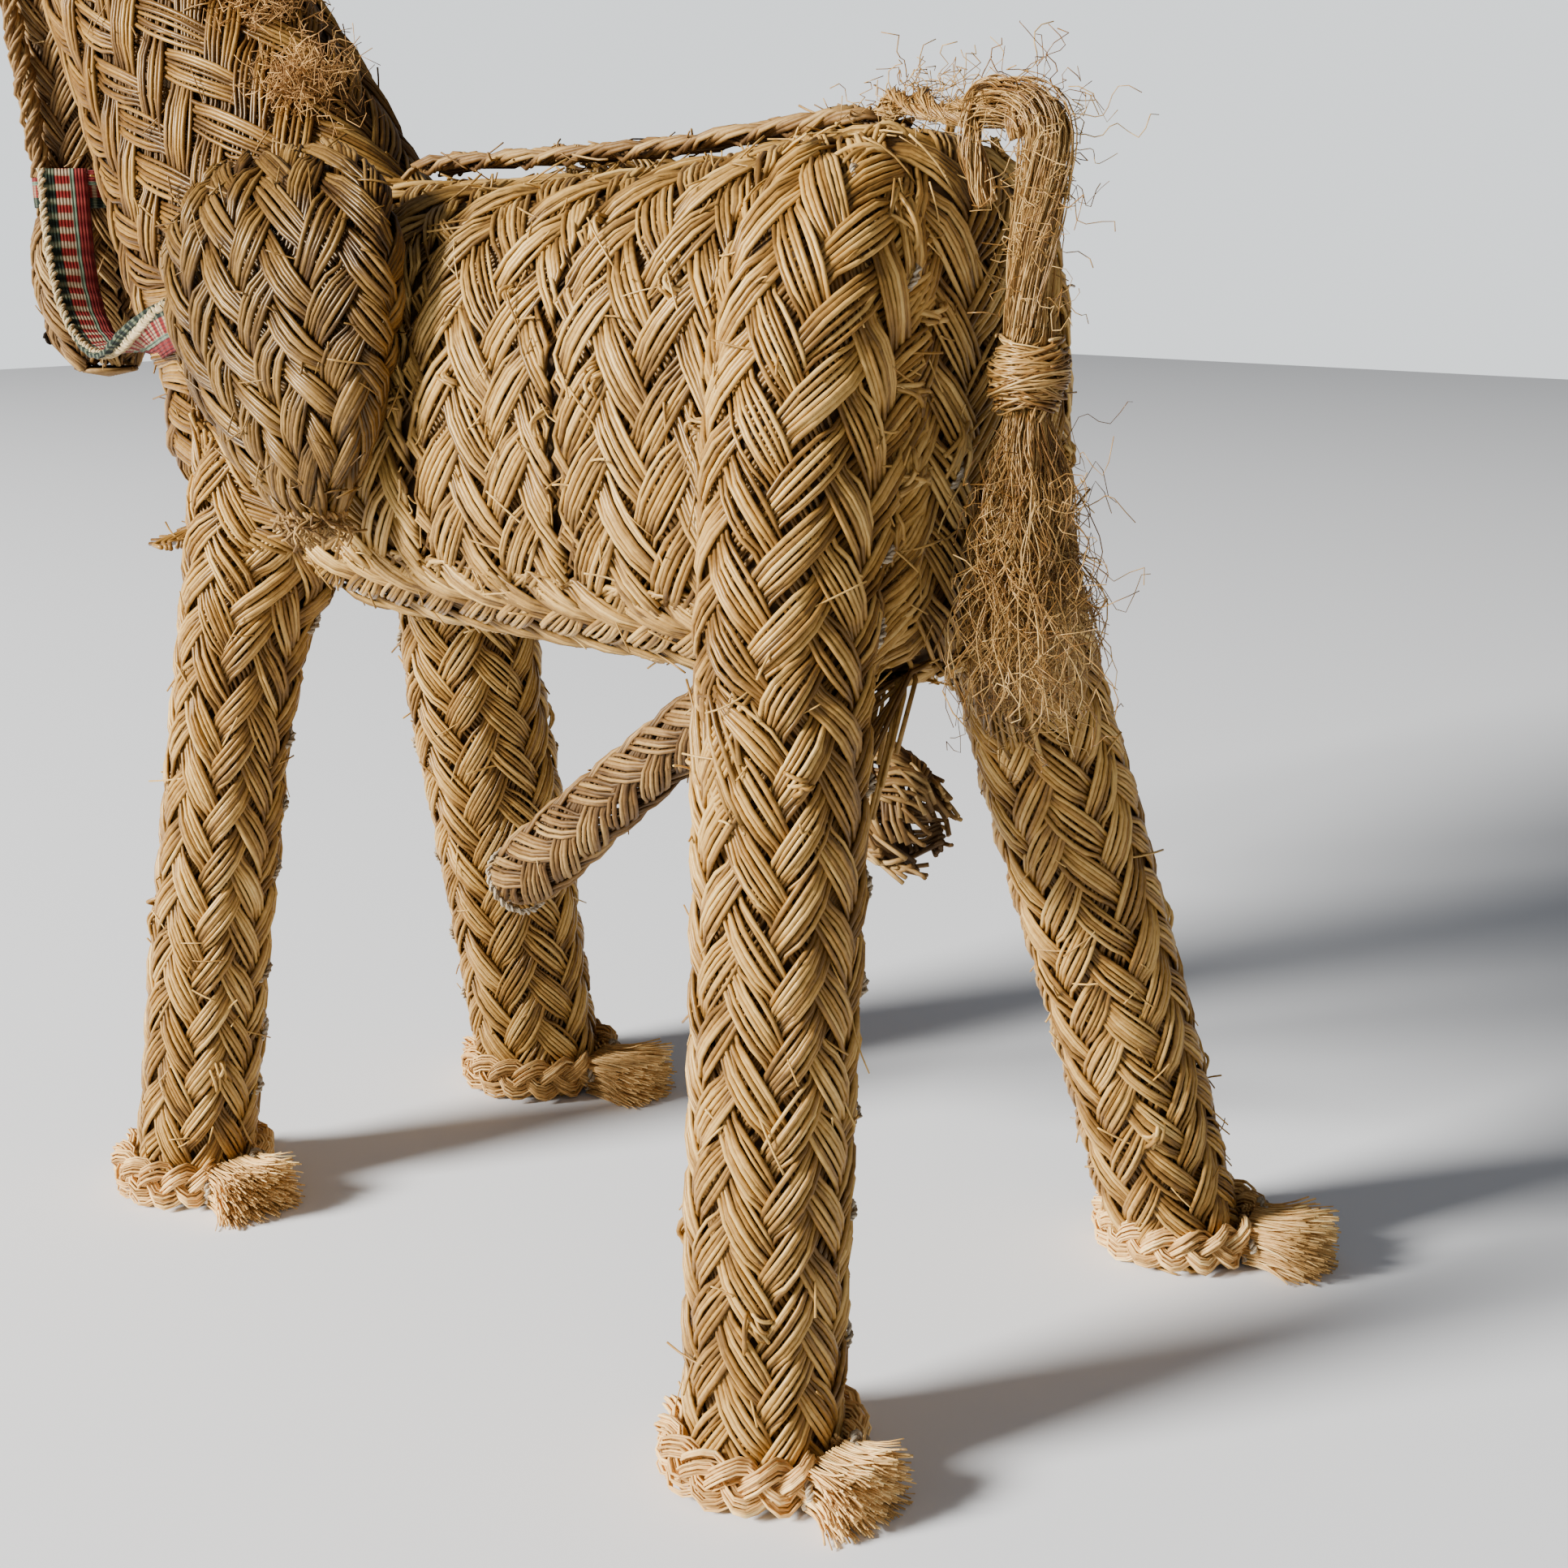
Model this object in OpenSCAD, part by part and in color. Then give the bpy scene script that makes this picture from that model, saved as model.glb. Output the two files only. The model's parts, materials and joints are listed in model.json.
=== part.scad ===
// Plaited grass donkey: straw cores, plaited covers, tied-on pads, hoof bands,
// striped bridle and a loose tail. Millimetres. Nose towards -Y, its left is +X.

/* [Whole animal] */
// thickness of the plaited covers
cover_t = 3; // [2:0.5:5]
// gap left between the straw filling and its cover
fill_gap = 0.2; // [0.1:0.1:0.5]
// facets round the body and legs
round_n = 28; // [16:4:40]

/* [Hooves] */
// height of the plait band round each hoof
hoof_h = 12.5; // [9:0.5:18]
// how far the hoof band stands off the leg
hoof_t = 5.5; // [3:0.5:8]
// how far the cut ends of a hoof band stick out behind it
brush_len = 13; // [6:1:22]

/* [Bridle] */
// width of the striped rein
rein_w = 12; // [8:0.5:16]
// thickness of the striped rein
rein_t = 1.4; // [0.8:0.2:2.4]

/* [Tail] */
// radius of the hanging hank of fibre
hank_r = 5; // [4:0.5:8]
// radius of the wrapped knot
knot_r = 8; // [5:0.5:9]
// length of the loose tassel below the knot
tassel_len = 64; // [40:2:80]

/* [Hidden] */
// moves everything so that the middle of the whole box is over the origin
shift = [17.25, 51.68, 0];
tail_x = 8;
lift_y = 127;

// each leg: height, then the middle and half-widths of its section (x, y, a, b)
left_hind_rows = [[0, 56, 99, 16.5, 16.5], [60, 53.5, 98.5, 16.8, 16.8],
    [120, 50, 98, 17, 17], [150, 48, 97, 17.5, 17], [180, 44, 95, 19, 17],
    [215, 38, 93, 20, 18], [245, 32, 91, 18, 19], [262, 24, 89, 11, 12]];
right_hind_rows = [[0, -90, 107, 17, 17], [60, -71, 101, 17.5, 17.5],
    [120, -50.5, 95, 18, 17.5], [150, -40, 92.5, 17, 16.5], [180, -31.5, 89.5, 16.5, 16],
    [215, -27.5, 88, 16.5, 17], [245, -23.5, 87, 15.5, 18], [262, -18, 86.5, 11, 12]];
left_front_rows = [[0, 57, -108, 15.5, 15.5], [60, 52, -102.5, 15.3, 15.3],
    [120, 46, -95.5, 15.2, 15.2], [150, 42, -91, 16.5, 16.2], [180, 38, -88, 17.5, 17.5],
    [210, 34, -84, 17, 18], [240, 28, -78, 15, 17], [256, 20, -74, 8, 10]];
right_front_rows = [[0, -55, -95, 18, 18], [60, -47.5, -97, 19, 19],
    [120, -40, -101, 19.5, 19.5], [150, -37, -101, 19, 19], [180, -34, -93, 18, 18],
    [210, -34, -84, 17, 18], [240, -28, -78, 15, 17], [256, -20, -74, 8, 10]];

// barrel: y, middle height, half-width, half-height
barrel_rows = [[-100, 205, 28, 36], [-92, 206, 37, 45], [-80, 207, 43, 50],
    [-60, 207, 46.5, 52], [-20, 207, 48, 52.5], [20, 208, 48.5, 53],
    [60, 210, 48.5, 55], [84, 212.5, 46.5, 57], [97, 212.5, 42, 55],
    [105, 212, 36.5, 49], [109, 212, 28, 41]];
// the barrel bulges a little more on the left
barrel_x = 2;

// neck and head: height, middle y, half-width, half-depth
neck_rows = [[172, -108, 20, 24], [178, -112, 30, 36], [190, -112, 37, 48],
    [205, -104.5, 38, 55.5], [230, -120, 36, 58], [260, -134, 32.5, 58.5],
    [285, -149.5, 30.5, 54], [307, -166, 30, 48], [340, -187, 26, 37],
    [365, -200, 24, 27], [380, -206, 18, 18], [386, -208, 9, 9]];
head_x = -5;
head_rows = [[206, -226, 9, 7], [211, -227, 14, 11], [225, -229, 17.5, 15],
    [240, -229, 18, 16], [258, -225, 15.5, 14], [285, -226, 17, 15.5],
    [313, -229, 18.5, 17], [335, -233, 20, 19], [355, -232, 20, 20],
    [372, -226, 17, 18], [384, -219, 10, 10]];

// shoulder pad: height, middle x, middle y, half-thickness, half-width
lobe_rows = [[183, 60, -34, 3.5, 4], [189, 60, -36, 8, 11], [200, 59.5, -40, 11, 23],
    [215, 59, -44, 13, 34.5], [232, 58, -46, 14, 41], [247, 56, -47, 13.5, 41],
    [258, 52, -49, 11, 34], [265, 47, -51, 7, 23], [268, 44, -51, 3, 10]];

// middle line of the left rein, and the direction its width runs in
rein_path = [[11, -213, 264], [11.6, -212, 250], [13.7, -208, 235.5], [16.1, -201, 224],
    [18.5, -191, 217], [22.7, -176, 214.6], [28, -159, 216], [34.2, -141, 219.2],
    [40.2, -124, 222.8], [46, -108, 225.5]];
rein_side = [[-.8, .6, 0], [-.8, .6, 0], [-.85, .5, .1], [-.9, 0, .2], [-.75, -.6, .2],
    [-.6, -.6, 0], [-.5, -.5, -.6], [-.3, -.3, -.9], [-.1, -.2, -1], [0, -.1, -1]];

function sgnpow(v, p) = sign(v) * pow(abs(v), p);
function ring_z(x, y, z, a, b, e = 2) = [for (i = [0:round_n - 1])
    let (t = 360 * i / round_n)
    [x + a * sgnpow(cos(t), 2 / e), y + b * sgnpow(sin(t), 2 / e), z]];
function ring_y(x, y, z, a, b, e = 2) = [for (i = [0:round_n - 1])
    let (t = -360 * i / round_n)
    [x + a * sgnpow(cos(t), 2 / e), y, z + b * sgnpow(sin(t), 2 / e)]];
function unit(v) = v / norm(v);
function tangent(p, i) = unit(p[min(i + 1, len(p) - 1)] - p[max(i - 1, 0)]);
function ring_on(p, t, r, n) = let (u = unit(cross([1, 0.02, 0], t)), v = cross(t, u))
    [for (i = [0:n - 1]) p + r * cos(360 * i / n) * u + r * sin(360 * i / n) * v];
function strap_ring(p, t, s, w, h) = let (k = cross(t, s), a = unit(cross(k, t)), b = cross(t, a))
    [p + a * w / 2 + b * h / 2, p - a * w / 2 + b * h / 2,
     p - a * w / 2 - b * h / 2, p + a * w / 2 - b * h / 2];

// closed solid through a list of rings with the same number of points
module loft(rings) {
    n = len(rings[0]);
    m = len(rings);
    sides = [for (k = [0:m - 2], i = [0:n - 1]) let (j = (i + 1) % n)
        each [[k * n + i, (k + 1) * n + i, (k + 1) * n + j], [k * n + i, (k + 1) * n + j, k * n + j]]];
    polyhedron([for (r = rings) each r],
        concat([[for (i = [0:n - 1]) i]], [[for (i = [n - 1:-1:0]) (m - 1) * n + i]], sides));
}

module tube(p, r, n = 12) loft([for (i = [0:len(p) - 1]) ring_on(p[i], tangent(p, i), r[i], n)]);

// the outer shapes, drawn in by o all round
module leg_shape(rows, o = 0) {
    last = len(rows) - 1;
    loft([for (i = [0:last]) let (q = rows[i])
        ring_z(q[1], q[2], i == 0 ? min(0, -o) : i == last ? q[0] - o : q[0], q[3] - o, q[4] - o)]);
}
module barrel_shape(o = 0) {
    last = len(barrel_rows) - 1;
    loft([for (i = [0:last]) let (q = barrel_rows[i])
        ring_y(barrel_x, i == 0 ? q[0] + o : i == last ? q[0] - o : q[0], q[1], q[2] - o, q[3] - o,
            2.7)]);
}
module column(rows, x, o = 0) {
    last = len(rows) - 1;
    loft([for (i = [0:last]) let (q = rows[i])
        ring_z(x, q[1], i == 0 ? q[0] + o : i == last ? q[0] - o : q[0], q[2] - o, q[3] - o)]);
}
module neck_shape(o = 0) column(neck_rows, 0, o);
module head_shape(o = 0) column(head_rows, head_x, o);
module legs_shape(o = 0) {
    leg_shape(left_hind_rows, o);
    leg_shape(right_hind_rows, o);
    leg_shape(left_front_rows, o);
    leg_shape(right_front_rows, o);
}
module body_shape(o = 0) {
    barrel_shape(o);
    neck_shape(o);
    legs_shape(o);
}
module body_skin() difference() {
    union() { body_shape(0); }
    body_shape(cover_t);
}

// where each cover begins and ends, as blocks: low corner, high corner
module block(lo, hi) translate(lo) cube(hi - lo);
module left_hind_zone() {
    block([16.1, 78.1, 0], [120, 130, 290]);
    block([0.1, 40, 0], [120, 78.05, 149.9]);
}
module right_hind_zone() {
    block([-120, 75.1, 0], [-16.1, 130, 290]);
    block([-120, 40, 0], [-0.1, 75.05, 149.9]);
}
module left_front_zone() {
    block([6.1, -130, 149.9], [100, -62.1, 199.9]);
    block([0.1, -160, 0], [100, -40, 149.9]);
}
module right_front_zone() {
    block([-100, -130, 149.9], [-6.1, -62.1, 199.9]);
    block([-100, -160, 0], [-0.1, -40, 149.9]);
}

// ---- straw filling ----
module barrel_core() color([0.52, 0.38, 0.18]) translate(shift) intersection() {
    union() { body_shape(cover_t + fill_gap); }
    block([-80, -62, 150], [80, 130, 290]);
}
module neck_core() color([0.52, 0.38, 0.18]) translate(shift) intersection() {
    union() { body_shape(cover_t + fill_gap); }
    block([-80, -260, 150], [80, -62.2, 400]);
}
module head_core() color([0.52, 0.38, 0.18]) translate(shift) difference() {
    head_shape(cover_t);
    neck_shape(-0.3);
}
module leg_core(rows) color([0.52, 0.38, 0.18]) translate(shift) intersection() {
    leg_shape(rows, cover_t + fill_gap);
    block([-120, -160, 0], [120, 140, 149.8]);
}
module left_hind_core() leg_core(left_hind_rows);
module right_hind_core() leg_core(right_hind_rows);
module left_front_core() leg_core(left_front_rows);
module right_front_core() leg_core(right_front_rows);

// ---- plaited covers ----
module cover(c) color(c) translate(shift) intersection() {
    body_skin();
    union() { children(); }
}
module left_hind_plait() cover([0.71, 0.55, 0.29]) left_hind_zone();
module right_hind_plait() cover([0.71, 0.55, 0.29]) right_hind_zone();
module left_front_plait() cover([0.71, 0.55, 0.29]) left_front_zone();
module right_front_plait() cover([0.71, 0.55, 0.29]) right_front_zone();
module rump_plait() cover([0.68, 0.52, 0.27]) block([-16, 78.1, 150], [16, 130, 290]);
module girth_plait_1() cover([0.68, 0.52, 0.27]) block([-70, -62, 172.1], [70, -13.1, 290]);
module girth_plait_2() cover([0.7, 0.54, 0.28]) block([-70, -13, 172.1], [70, 34.9, 290]);
module girth_plait_3() cover([0.68, 0.52, 0.27]) {
    block([-16, 35, 172.1], [70, 78, 290]);
    block([-70, 35, 172.1], [-15.9, 75, 290]);
}
module belly_plait() cover([0.66, 0.5, 0.26]) {
    block([-16, -62, 150], [70, 78, 172]);
    block([-70, -62, 150], [-15.9, 75, 172]);
}
module neck_plait() color([0.69, 0.52, 0.26]) translate(shift) difference() {
    intersection() {
        body_skin();
        block([-80, -260, 150], [80, -62.1, 400]);
    }
    left_front_zone();
    right_front_zone();
}
module head_plait() color([0.69, 0.52, 0.26]) translate(shift) difference() {
    head_shape(0);
    head_shape(cover_t - 0.2);
    neck_shape(-0.15);
}
module spine_plait() color([0.6, 0.44, 0.22]) translate(shift) difference() {
    loft([for (q = [[-66, 258.8, 4, 2.4], [-60, 260.2, 7.5, 3.6], [-20, 261, 7.5, 3.6],
        [20, 262.4, 7.5, 3.6], [60, 266.3, 7.5, 3.4], [75, 269, 6, 3], [80, 269.6, 4, 2]])
        ring_y(0, q[0], q[1], q[2], q[3])]);
    body_shape(-0.15);
}

// ---- ears and eyes ----
module ear(s) color([0.69, 0.52, 0.26]) translate(shift) difference() {
    loft([for (q = [[372, 10, -207, 5, 4], [386, 13, -205, 8, 5], [402, 17, -202, 8.5, 5],
        [418, 20, -199, 6, 4], [428, 21.5, -197, 3.5, 3], [432, 22, -196.5, 1.4, 1.4]])
        ring_z(s * q[1], q[2], q[0], q[3], q[4])]);
    neck_shape(-0.15);
    head_shape(-0.15);
}
module left_ear() ear(1);
module right_ear() ear(-1);
module eye(s) color([0.12, 0.09, 0.07]) translate(shift) difference() {
    translate([head_x + s * 19.4, -235, 336]) sphere(r = 2.4, $fn = 16);
    head_shape(-0.1);
}
module left_eye() eye(1);
module right_eye() eye(-1);

// ---- shoulder pads ----
module lobe(s) color([0.72, 0.56, 0.3]) translate(shift) difference() {
    loft([for (q = lobe_rows) ring_z(s * q[1], q[2], q[0], q[3], q[4])]);
    body_shape(-0.2);
}
module left_shoulder_pad() lobe(1);
module right_shoulder_pad() lobe(-1);

// ---- hooves ----
// more is added to the length of the cut ends, which point turn degrees away from straight back
module hoof(rows, more, turn) color([0.74, 0.55, 0.28]) translate(shift) difference() {
    translate([rows[0][1], rows[0][2], 0]) linear_extrude(hoof_h) {
        circle(r = rows[0][3] + hoof_t, $fn = 40);
        brush = rows[0][3] + hoof_t + brush_len + more;
        rotate(turn)
        polygon([[-10, 0], [10, 0], [9.5, brush - 3], [7, brush], [-7, brush], [-9.5, brush - 3]]);
    }
    leg_shape(rows, -0.15);
}
module left_hind_hoof() hoof(left_hind_rows, 0, 0);
module right_hind_hoof() hoof(right_hind_rows, 6, 18);
module left_front_hoof() hoof(left_front_rows, 3, 0);
module right_front_hoof() hoof(right_front_rows, 7, 18);

// ---- under the belly ----
module sheath_plait() color([0.66, 0.5, 0.27]) translate(shift) difference() {
    tube([[0, 52, 157], [0, 40, 147], [0, 20, 132], [0, 0, 116.5], [0, -20, 100.5], [0, -36, 88],
        [0, -40, 84.5]], [6.4, 6.8, 7.2, 7.8, 8.6, 9, 6.5], 16);
    body_shape(-0.15);
    pouch_solid(0.2);
}
module pouch_solid(o = 0) loft([for (q = [[56, 151, 5, 6], [62, 145.5, 8, 10.5], [72, 136, 10.5, 13],
    [83, 129, 11.5, 14], [91, 126, 10.5, 13], [96, 125, 8.5, 10.5], [99, 124.5, 5.5, 7]])
    ring_y(0, q[0], q[1], q[2] + o, q[3] + o)]);
module pouch_plait() color([0.62, 0.46, 0.24]) translate(shift) difference() {
    pouch_solid();
    body_shape(-0.15);
}

// ---- bridle ----
module noseband() color([0.62, 0.12, 0.12]) translate(shift) intersection() {
    difference() {
        head_shape(-1.4);
        head_shape(-0.15);
    }
    block([-60, -260, 253], [60, -190, 264]);
}
function rein_points(s) = [for (i = [0:len(rein_path) - 1]) let (q = rein_path[i],
    k = 1 - i / (len(rein_path) - 1))
    [s > 0 ? q[0] : -q[0] + 2 * head_x * k, q[1], q[2]]];
module rein(s) color([0.68, 0.2, 0.17]) translate(shift) difference() {
    p = rein_points(s);
    loft([for (i = [0:len(p) - 1]) strap_ring(p[i], tangent(p, i),
        [s * rein_side[i][0], rein_side[i][1], rein_side[i][2]], rein_w, rein_t)]);
    body_shape(-0.2);
    head_shape(-1.7);
    lobe_room(s);
}
module lobe_room(s) loft([for (q = lobe_rows) ring_z(s * q[1], q[2], q[0], q[3] + 0.3, q[4] + 0.3)]);
module left_rein() rein(1);
module right_rein() rein(-1);
module cheek_rope(s) color([0.62, 0.45, 0.22]) translate(shift) difference() {
    tube([for (q = [[13.8, -221, 264.8], [15.6, -221, 280], [16.6, -223, 297], [17.6, -226, 314],
        [18.4, -230, 332], [17, -232, 348], [13, -231, 362]])
        [s > 0 ? q[0] : -q[0] + 2 * head_x, q[1], q[2]]], [3, 3.4, 3.5, 3.5, 3.5, 3.2, 2.6], 12);
    head_shape(-0.15);
    neck_shape(-0.3);
    translate([head_x + s * 19.4, -235, 336]) sphere(r = 2.8, $fn = 16);
    block([-60, -260, 250], [60, -190, 264.2]);
}
module left_cheek_rope() cheek_rope(1);
module right_cheek_rope() cheek_rope(-1);

// ---- mane ----
module mane() color([0.42, 0.29, 0.14]) translate(shift) difference() {
    for (q = [[9, -100, 281, 9], [7, -118, 303, 9], [1, -141, 329, 9], [0, -165, 354, 9],
        [-2, -187, 376, 10]])
        translate([q[0], q[1] + 1, q[2] + 1]) sphere(r = q[3], $fn = 16);
    neck_shape(-0.15);
    head_shape(-0.15);
    ear_room(1);
    ear_room(-1);
}
module ear_room(s) loft([for (q = [[370, 10, -207, 5.4, 4.4], [386, 13, -205, 8.4, 5.4],
    [402, 17, -202, 8.9, 5.4], [418, 20, -199, 6.4, 4.4]])
    ring_z(s * q[1], q[2], q[0], q[3], q[4])]);

// ---- sewing thread ----
module seam_threads() color([0.85, 0.8, 0.7]) translate(shift) difference() {
    for (q = [[49.5, 78, 205], [50, 78, 232], [50, 35, 215], [49, 35, 240], [20, 111, 200],
        [20, 111, 222], [22, 110.5, 245], [-18, 111, 222], [-47, 35, 215], [-46.5, 75, 225]])
        translate(q) rotate([35, 0, 0]) cylinder(r = 1.7, h = 7, center = true, $fn = 10);
    body_shape(-0.1);
}

// ---- tail ----
module tail_root() color([0.78, 0.62, 0.34]) translate(shift) difference() {
    tube([[0, 81, 272.6], [1.5, 87, 274], [4.5, 93, 273.6], [7, 98, 272], [tail_x, 102, 270.8],
        [tail_x, 105.2, 270.5]], [3, 4.2, 4.2, 4, 3.8, 3.4], 12);
    body_shape(-0.15);
    spine_room();
}
module spine_room() block([-8, 60, 255], [8, 80.6, 275]);
module tail_loop() color([0.78, 0.62, 0.34]) translate(shift)
    tube([[tail_x, 106.6, 270.4], [tail_x, 109.5, 270.7], [tail_x, 113, 271.3],
        [tail_x, 117.5, 271.9], [tail_x, 122, 271.6], [tail_x, 125.3, 270.6],
        [tail_x, lift_y, 269.6], [tail_x, lift_y, 268.4]],
        [3.4, 3.8, 4.2, 4.4, 4, 3, 2, 1.4], 12);
module tail_hank() color([0.8, 0.64, 0.36]) translate(shift)
    tube([[tail_x, lift_y, 266.4], [tail_x, lift_y, 262], [tail_x, lift_y - 0.4, 257.5],
        [tail_x, lift_y - 1.4, 248], [tail_x, lift_y - 2.6, 238], [tail_x, lift_y - 3, 228.8]],
        [1.2, 3.6, hank_r, hank_r, hank_r - 0.5, hank_r - 0.5], 16);
module tail_knot() color([0.77, 0.6, 0.33]) translate(shift)
    tube([[tail_x, lift_y - 3, 228.6], [tail_x, lift_y - 3, 226], [tail_x, lift_y - 2.8, 222],
        [tail_x, lift_y - 2.6, 218.4], [tail_x, lift_y - 2.4, 216]],
        [knot_r - 2, knot_r, knot_r, knot_r, knot_r - 2], 16);
module tail_tassel() color([0.74, 0.58, 0.32]) translate(shift)
    loft([for (q = [[215.8 - tassel_len, 9, 6], [215.8 - tassel_len + 8, 13, 9.5],
        [215.8 - tassel_len * 0.65, 14.5, 11], [215.8 - tassel_len * 0.4, 12.5, 10],
        [215.8 - tassel_len * 0.15, 8, 7.5], [215.8, 5, 5]])
        ring_z(tail_x, lift_y - 0.8, q[0], q[1], q[2])]);

barrel_core();
neck_core();
head_core();
left_hind_core();
right_hind_core();
left_front_core();
right_front_core();
left_hind_plait();
right_hind_plait();
left_front_plait();
right_front_plait();
rump_plait();
girth_plait_1();
girth_plait_2();
girth_plait_3();
belly_plait();
neck_plait();
head_plait();
spine_plait();
left_ear();
right_ear();
left_eye();
right_eye();
left_shoulder_pad();
right_shoulder_pad();
left_hind_hoof();
right_hind_hoof();
left_front_hoof();
right_front_hoof();
sheath_plait();
pouch_plait();
noseband();
left_rein();
right_rein();
left_cheek_rope();
right_cheek_rope();
mane();
seam_threads();
tail_root();
tail_loop();
tail_hank();
tail_knot();
tail_tassel();
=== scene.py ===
"""Plaited grass donkey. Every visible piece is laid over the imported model: the covers are plaited
from single stems, the hooves are bound with a three-strand plait, and the tail is loose fibre."""
import bpy, bmesh, json, math
import numpy as np
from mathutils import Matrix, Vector
from mathutils.bvhtree import BVHTree


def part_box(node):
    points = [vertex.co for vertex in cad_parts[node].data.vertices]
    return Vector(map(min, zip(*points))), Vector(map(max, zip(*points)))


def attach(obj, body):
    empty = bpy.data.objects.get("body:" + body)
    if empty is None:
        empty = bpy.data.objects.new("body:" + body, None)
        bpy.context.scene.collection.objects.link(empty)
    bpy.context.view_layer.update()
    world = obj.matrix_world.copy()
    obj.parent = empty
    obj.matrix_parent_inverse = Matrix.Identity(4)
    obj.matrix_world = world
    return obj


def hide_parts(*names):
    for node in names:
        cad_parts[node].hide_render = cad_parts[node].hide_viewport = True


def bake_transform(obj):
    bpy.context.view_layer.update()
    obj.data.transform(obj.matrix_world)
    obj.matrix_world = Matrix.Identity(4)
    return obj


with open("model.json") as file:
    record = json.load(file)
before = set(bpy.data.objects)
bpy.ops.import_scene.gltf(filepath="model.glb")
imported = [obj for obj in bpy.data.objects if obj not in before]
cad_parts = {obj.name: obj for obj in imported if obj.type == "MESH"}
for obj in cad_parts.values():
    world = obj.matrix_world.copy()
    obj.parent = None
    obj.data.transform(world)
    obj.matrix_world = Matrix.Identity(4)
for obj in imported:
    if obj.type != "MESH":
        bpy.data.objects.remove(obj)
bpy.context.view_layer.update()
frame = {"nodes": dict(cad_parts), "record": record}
MM = 0.001
ACROSS = Vector((1, 0, 0))
AFT = Vector((0, 1, 0))
UP = Vector((0, 0, 1))


# ---------------------------------------------------------------- the camera
def soles():
    """Where each foot stands, by leg name."""
    return {m["name"].replace("_sole", ""): Vector(m["pos_m"]) for m in frame["record"]["mounts"]}


def make_camera():
    """A camera at about the height of the rump, behind the left flank, a little nose down."""
    eye = here(352.3, 374.6, 252.3)
    turn, tilt = math.radians(132.3), math.radians(14.65)
    back = Vector((math.sin(turn) * math.cos(tilt), -math.cos(turn) * math.cos(tilt), math.sin(tilt)))
    data = bpy.data.cameras.new("camera")
    data.lens, data.sensor_width = 50.3, 36
    data.clip_start, data.clip_end = 0.01, 20
    cam = bpy.data.objects.new("camera", data)
    cam.location = eye
    cam.rotation_mode = "QUATERNION"
    cam.rotation_quaternion = (-back).to_track_quat("-Z", "Y")
    bpy.context.scene.collection.objects.link(cam)
    bpy.context.scene.camera = cam


FEET = soles()
ORIGIN = FEET["left_hind"] - Vector((56, 99, 0)) * MM


def here(x, y, z):
    """A point of the drawing, in millimetres from its middle line, as a place in the frame."""
    return ORIGIN + Vector((x, y, z)) * MM


make_camera()


# ---------------------------------------------------------------- forms to plait over
def skin_tree(*names):
    """A search tree of the named nodes' surfaces."""
    points, faces = [], []
    for n in names:
        me = frame["nodes"][n].data
        base = len(points)
        points += [v.co.copy() for v in me.vertices]
        faces += [[base + i for i in p.vertices] for p in me.polygons]
    return BVHTree.FromPolygons(points, faces)


class Form:
    """A smooth patch given by a grid of points: rows run along it, columns across it."""

    def __init__(self, grid, closed=False, soften=2):
        g = np.array(grid, float)
        for _ in range(soften):
            if closed:
                core = g[:, :-1]
                core = 0.5 * core + 0.25 * (np.roll(core, 1, 1) + np.roll(core, -1, 1))
                g = np.concatenate([core, core[:, :1]], 1)
            else:
                g[:, 1:-1] = 0.5 * g[:, 1:-1] + 0.25 * (g[:, :-2] + g[:, 2:])
            g[1:-1] = 0.5 * g[1:-1] + 0.25 * (g[:-2] + g[2:])
        along = np.gradient(g, axis=0)
        if closed:
            core = g[:, :-1]
            over = 0.5 * (np.roll(core, -1, 1) - np.roll(core, 1, 1))
            over = np.concatenate([over, over[:, :1]], 1)
        else:
            over = np.gradient(g, axis=1)
        out = np.cross(over, along)
        out /= np.maximum(np.linalg.norm(out, axis=2, keepdims=True), 1e-12)
        self.g, self.out = g, out
        step = np.linalg.norm(np.diff(g, axis=0), axis=2).mean(1)
        self.rise = np.concatenate([[0], np.cumsum(step)])
        self.length = self.rise[-1]
        self.girth = np.linalg.norm(np.diff(g, axis=1), axis=2).sum(1)

    def lay(self, u, v, h):
        """Points at u (0 to 1 across), v (metres along) and h above the form."""
        nv, nu = self.g.shape[:2]
        u, v = np.asarray(u, float), np.asarray(v, float)
        r = np.interp(v, self.rise, np.arange(nv))
        c = np.clip(u, 0, 1) * (nu - 1)
        i = np.minimum(r.astype(int), nv - 2)
        j = np.minimum(c.astype(int), nu - 2)
        a, b = (r - i)[:, None], (c - j)[:, None]

        def mix(f):
            return (f[i, j] * (1 - a) * (1 - b) + f[i + 1, j] * a * (1 - b)
                    + f[i, j + 1] * (1 - a) * b + f[i + 1, j + 1] * a * b)
        n = mix(self.out)
        n /= np.maximum(np.linalg.norm(n, axis=1, keepdims=True), 1e-9)
        return mix(self.g) + n * (np.asarray(h) + np.zeros(len(u)))[:, None]


def even(row):
    """The same line of points, evenly spaced."""
    row = np.array(row, float)
    d = np.concatenate([[0], np.cumsum(np.linalg.norm(np.diff(row, axis=0), axis=1))])
    t = np.linspace(0, d[-1], len(row))
    return np.stack([np.interp(t, d, row[:, k]) for k in range(3)], 1)


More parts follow.
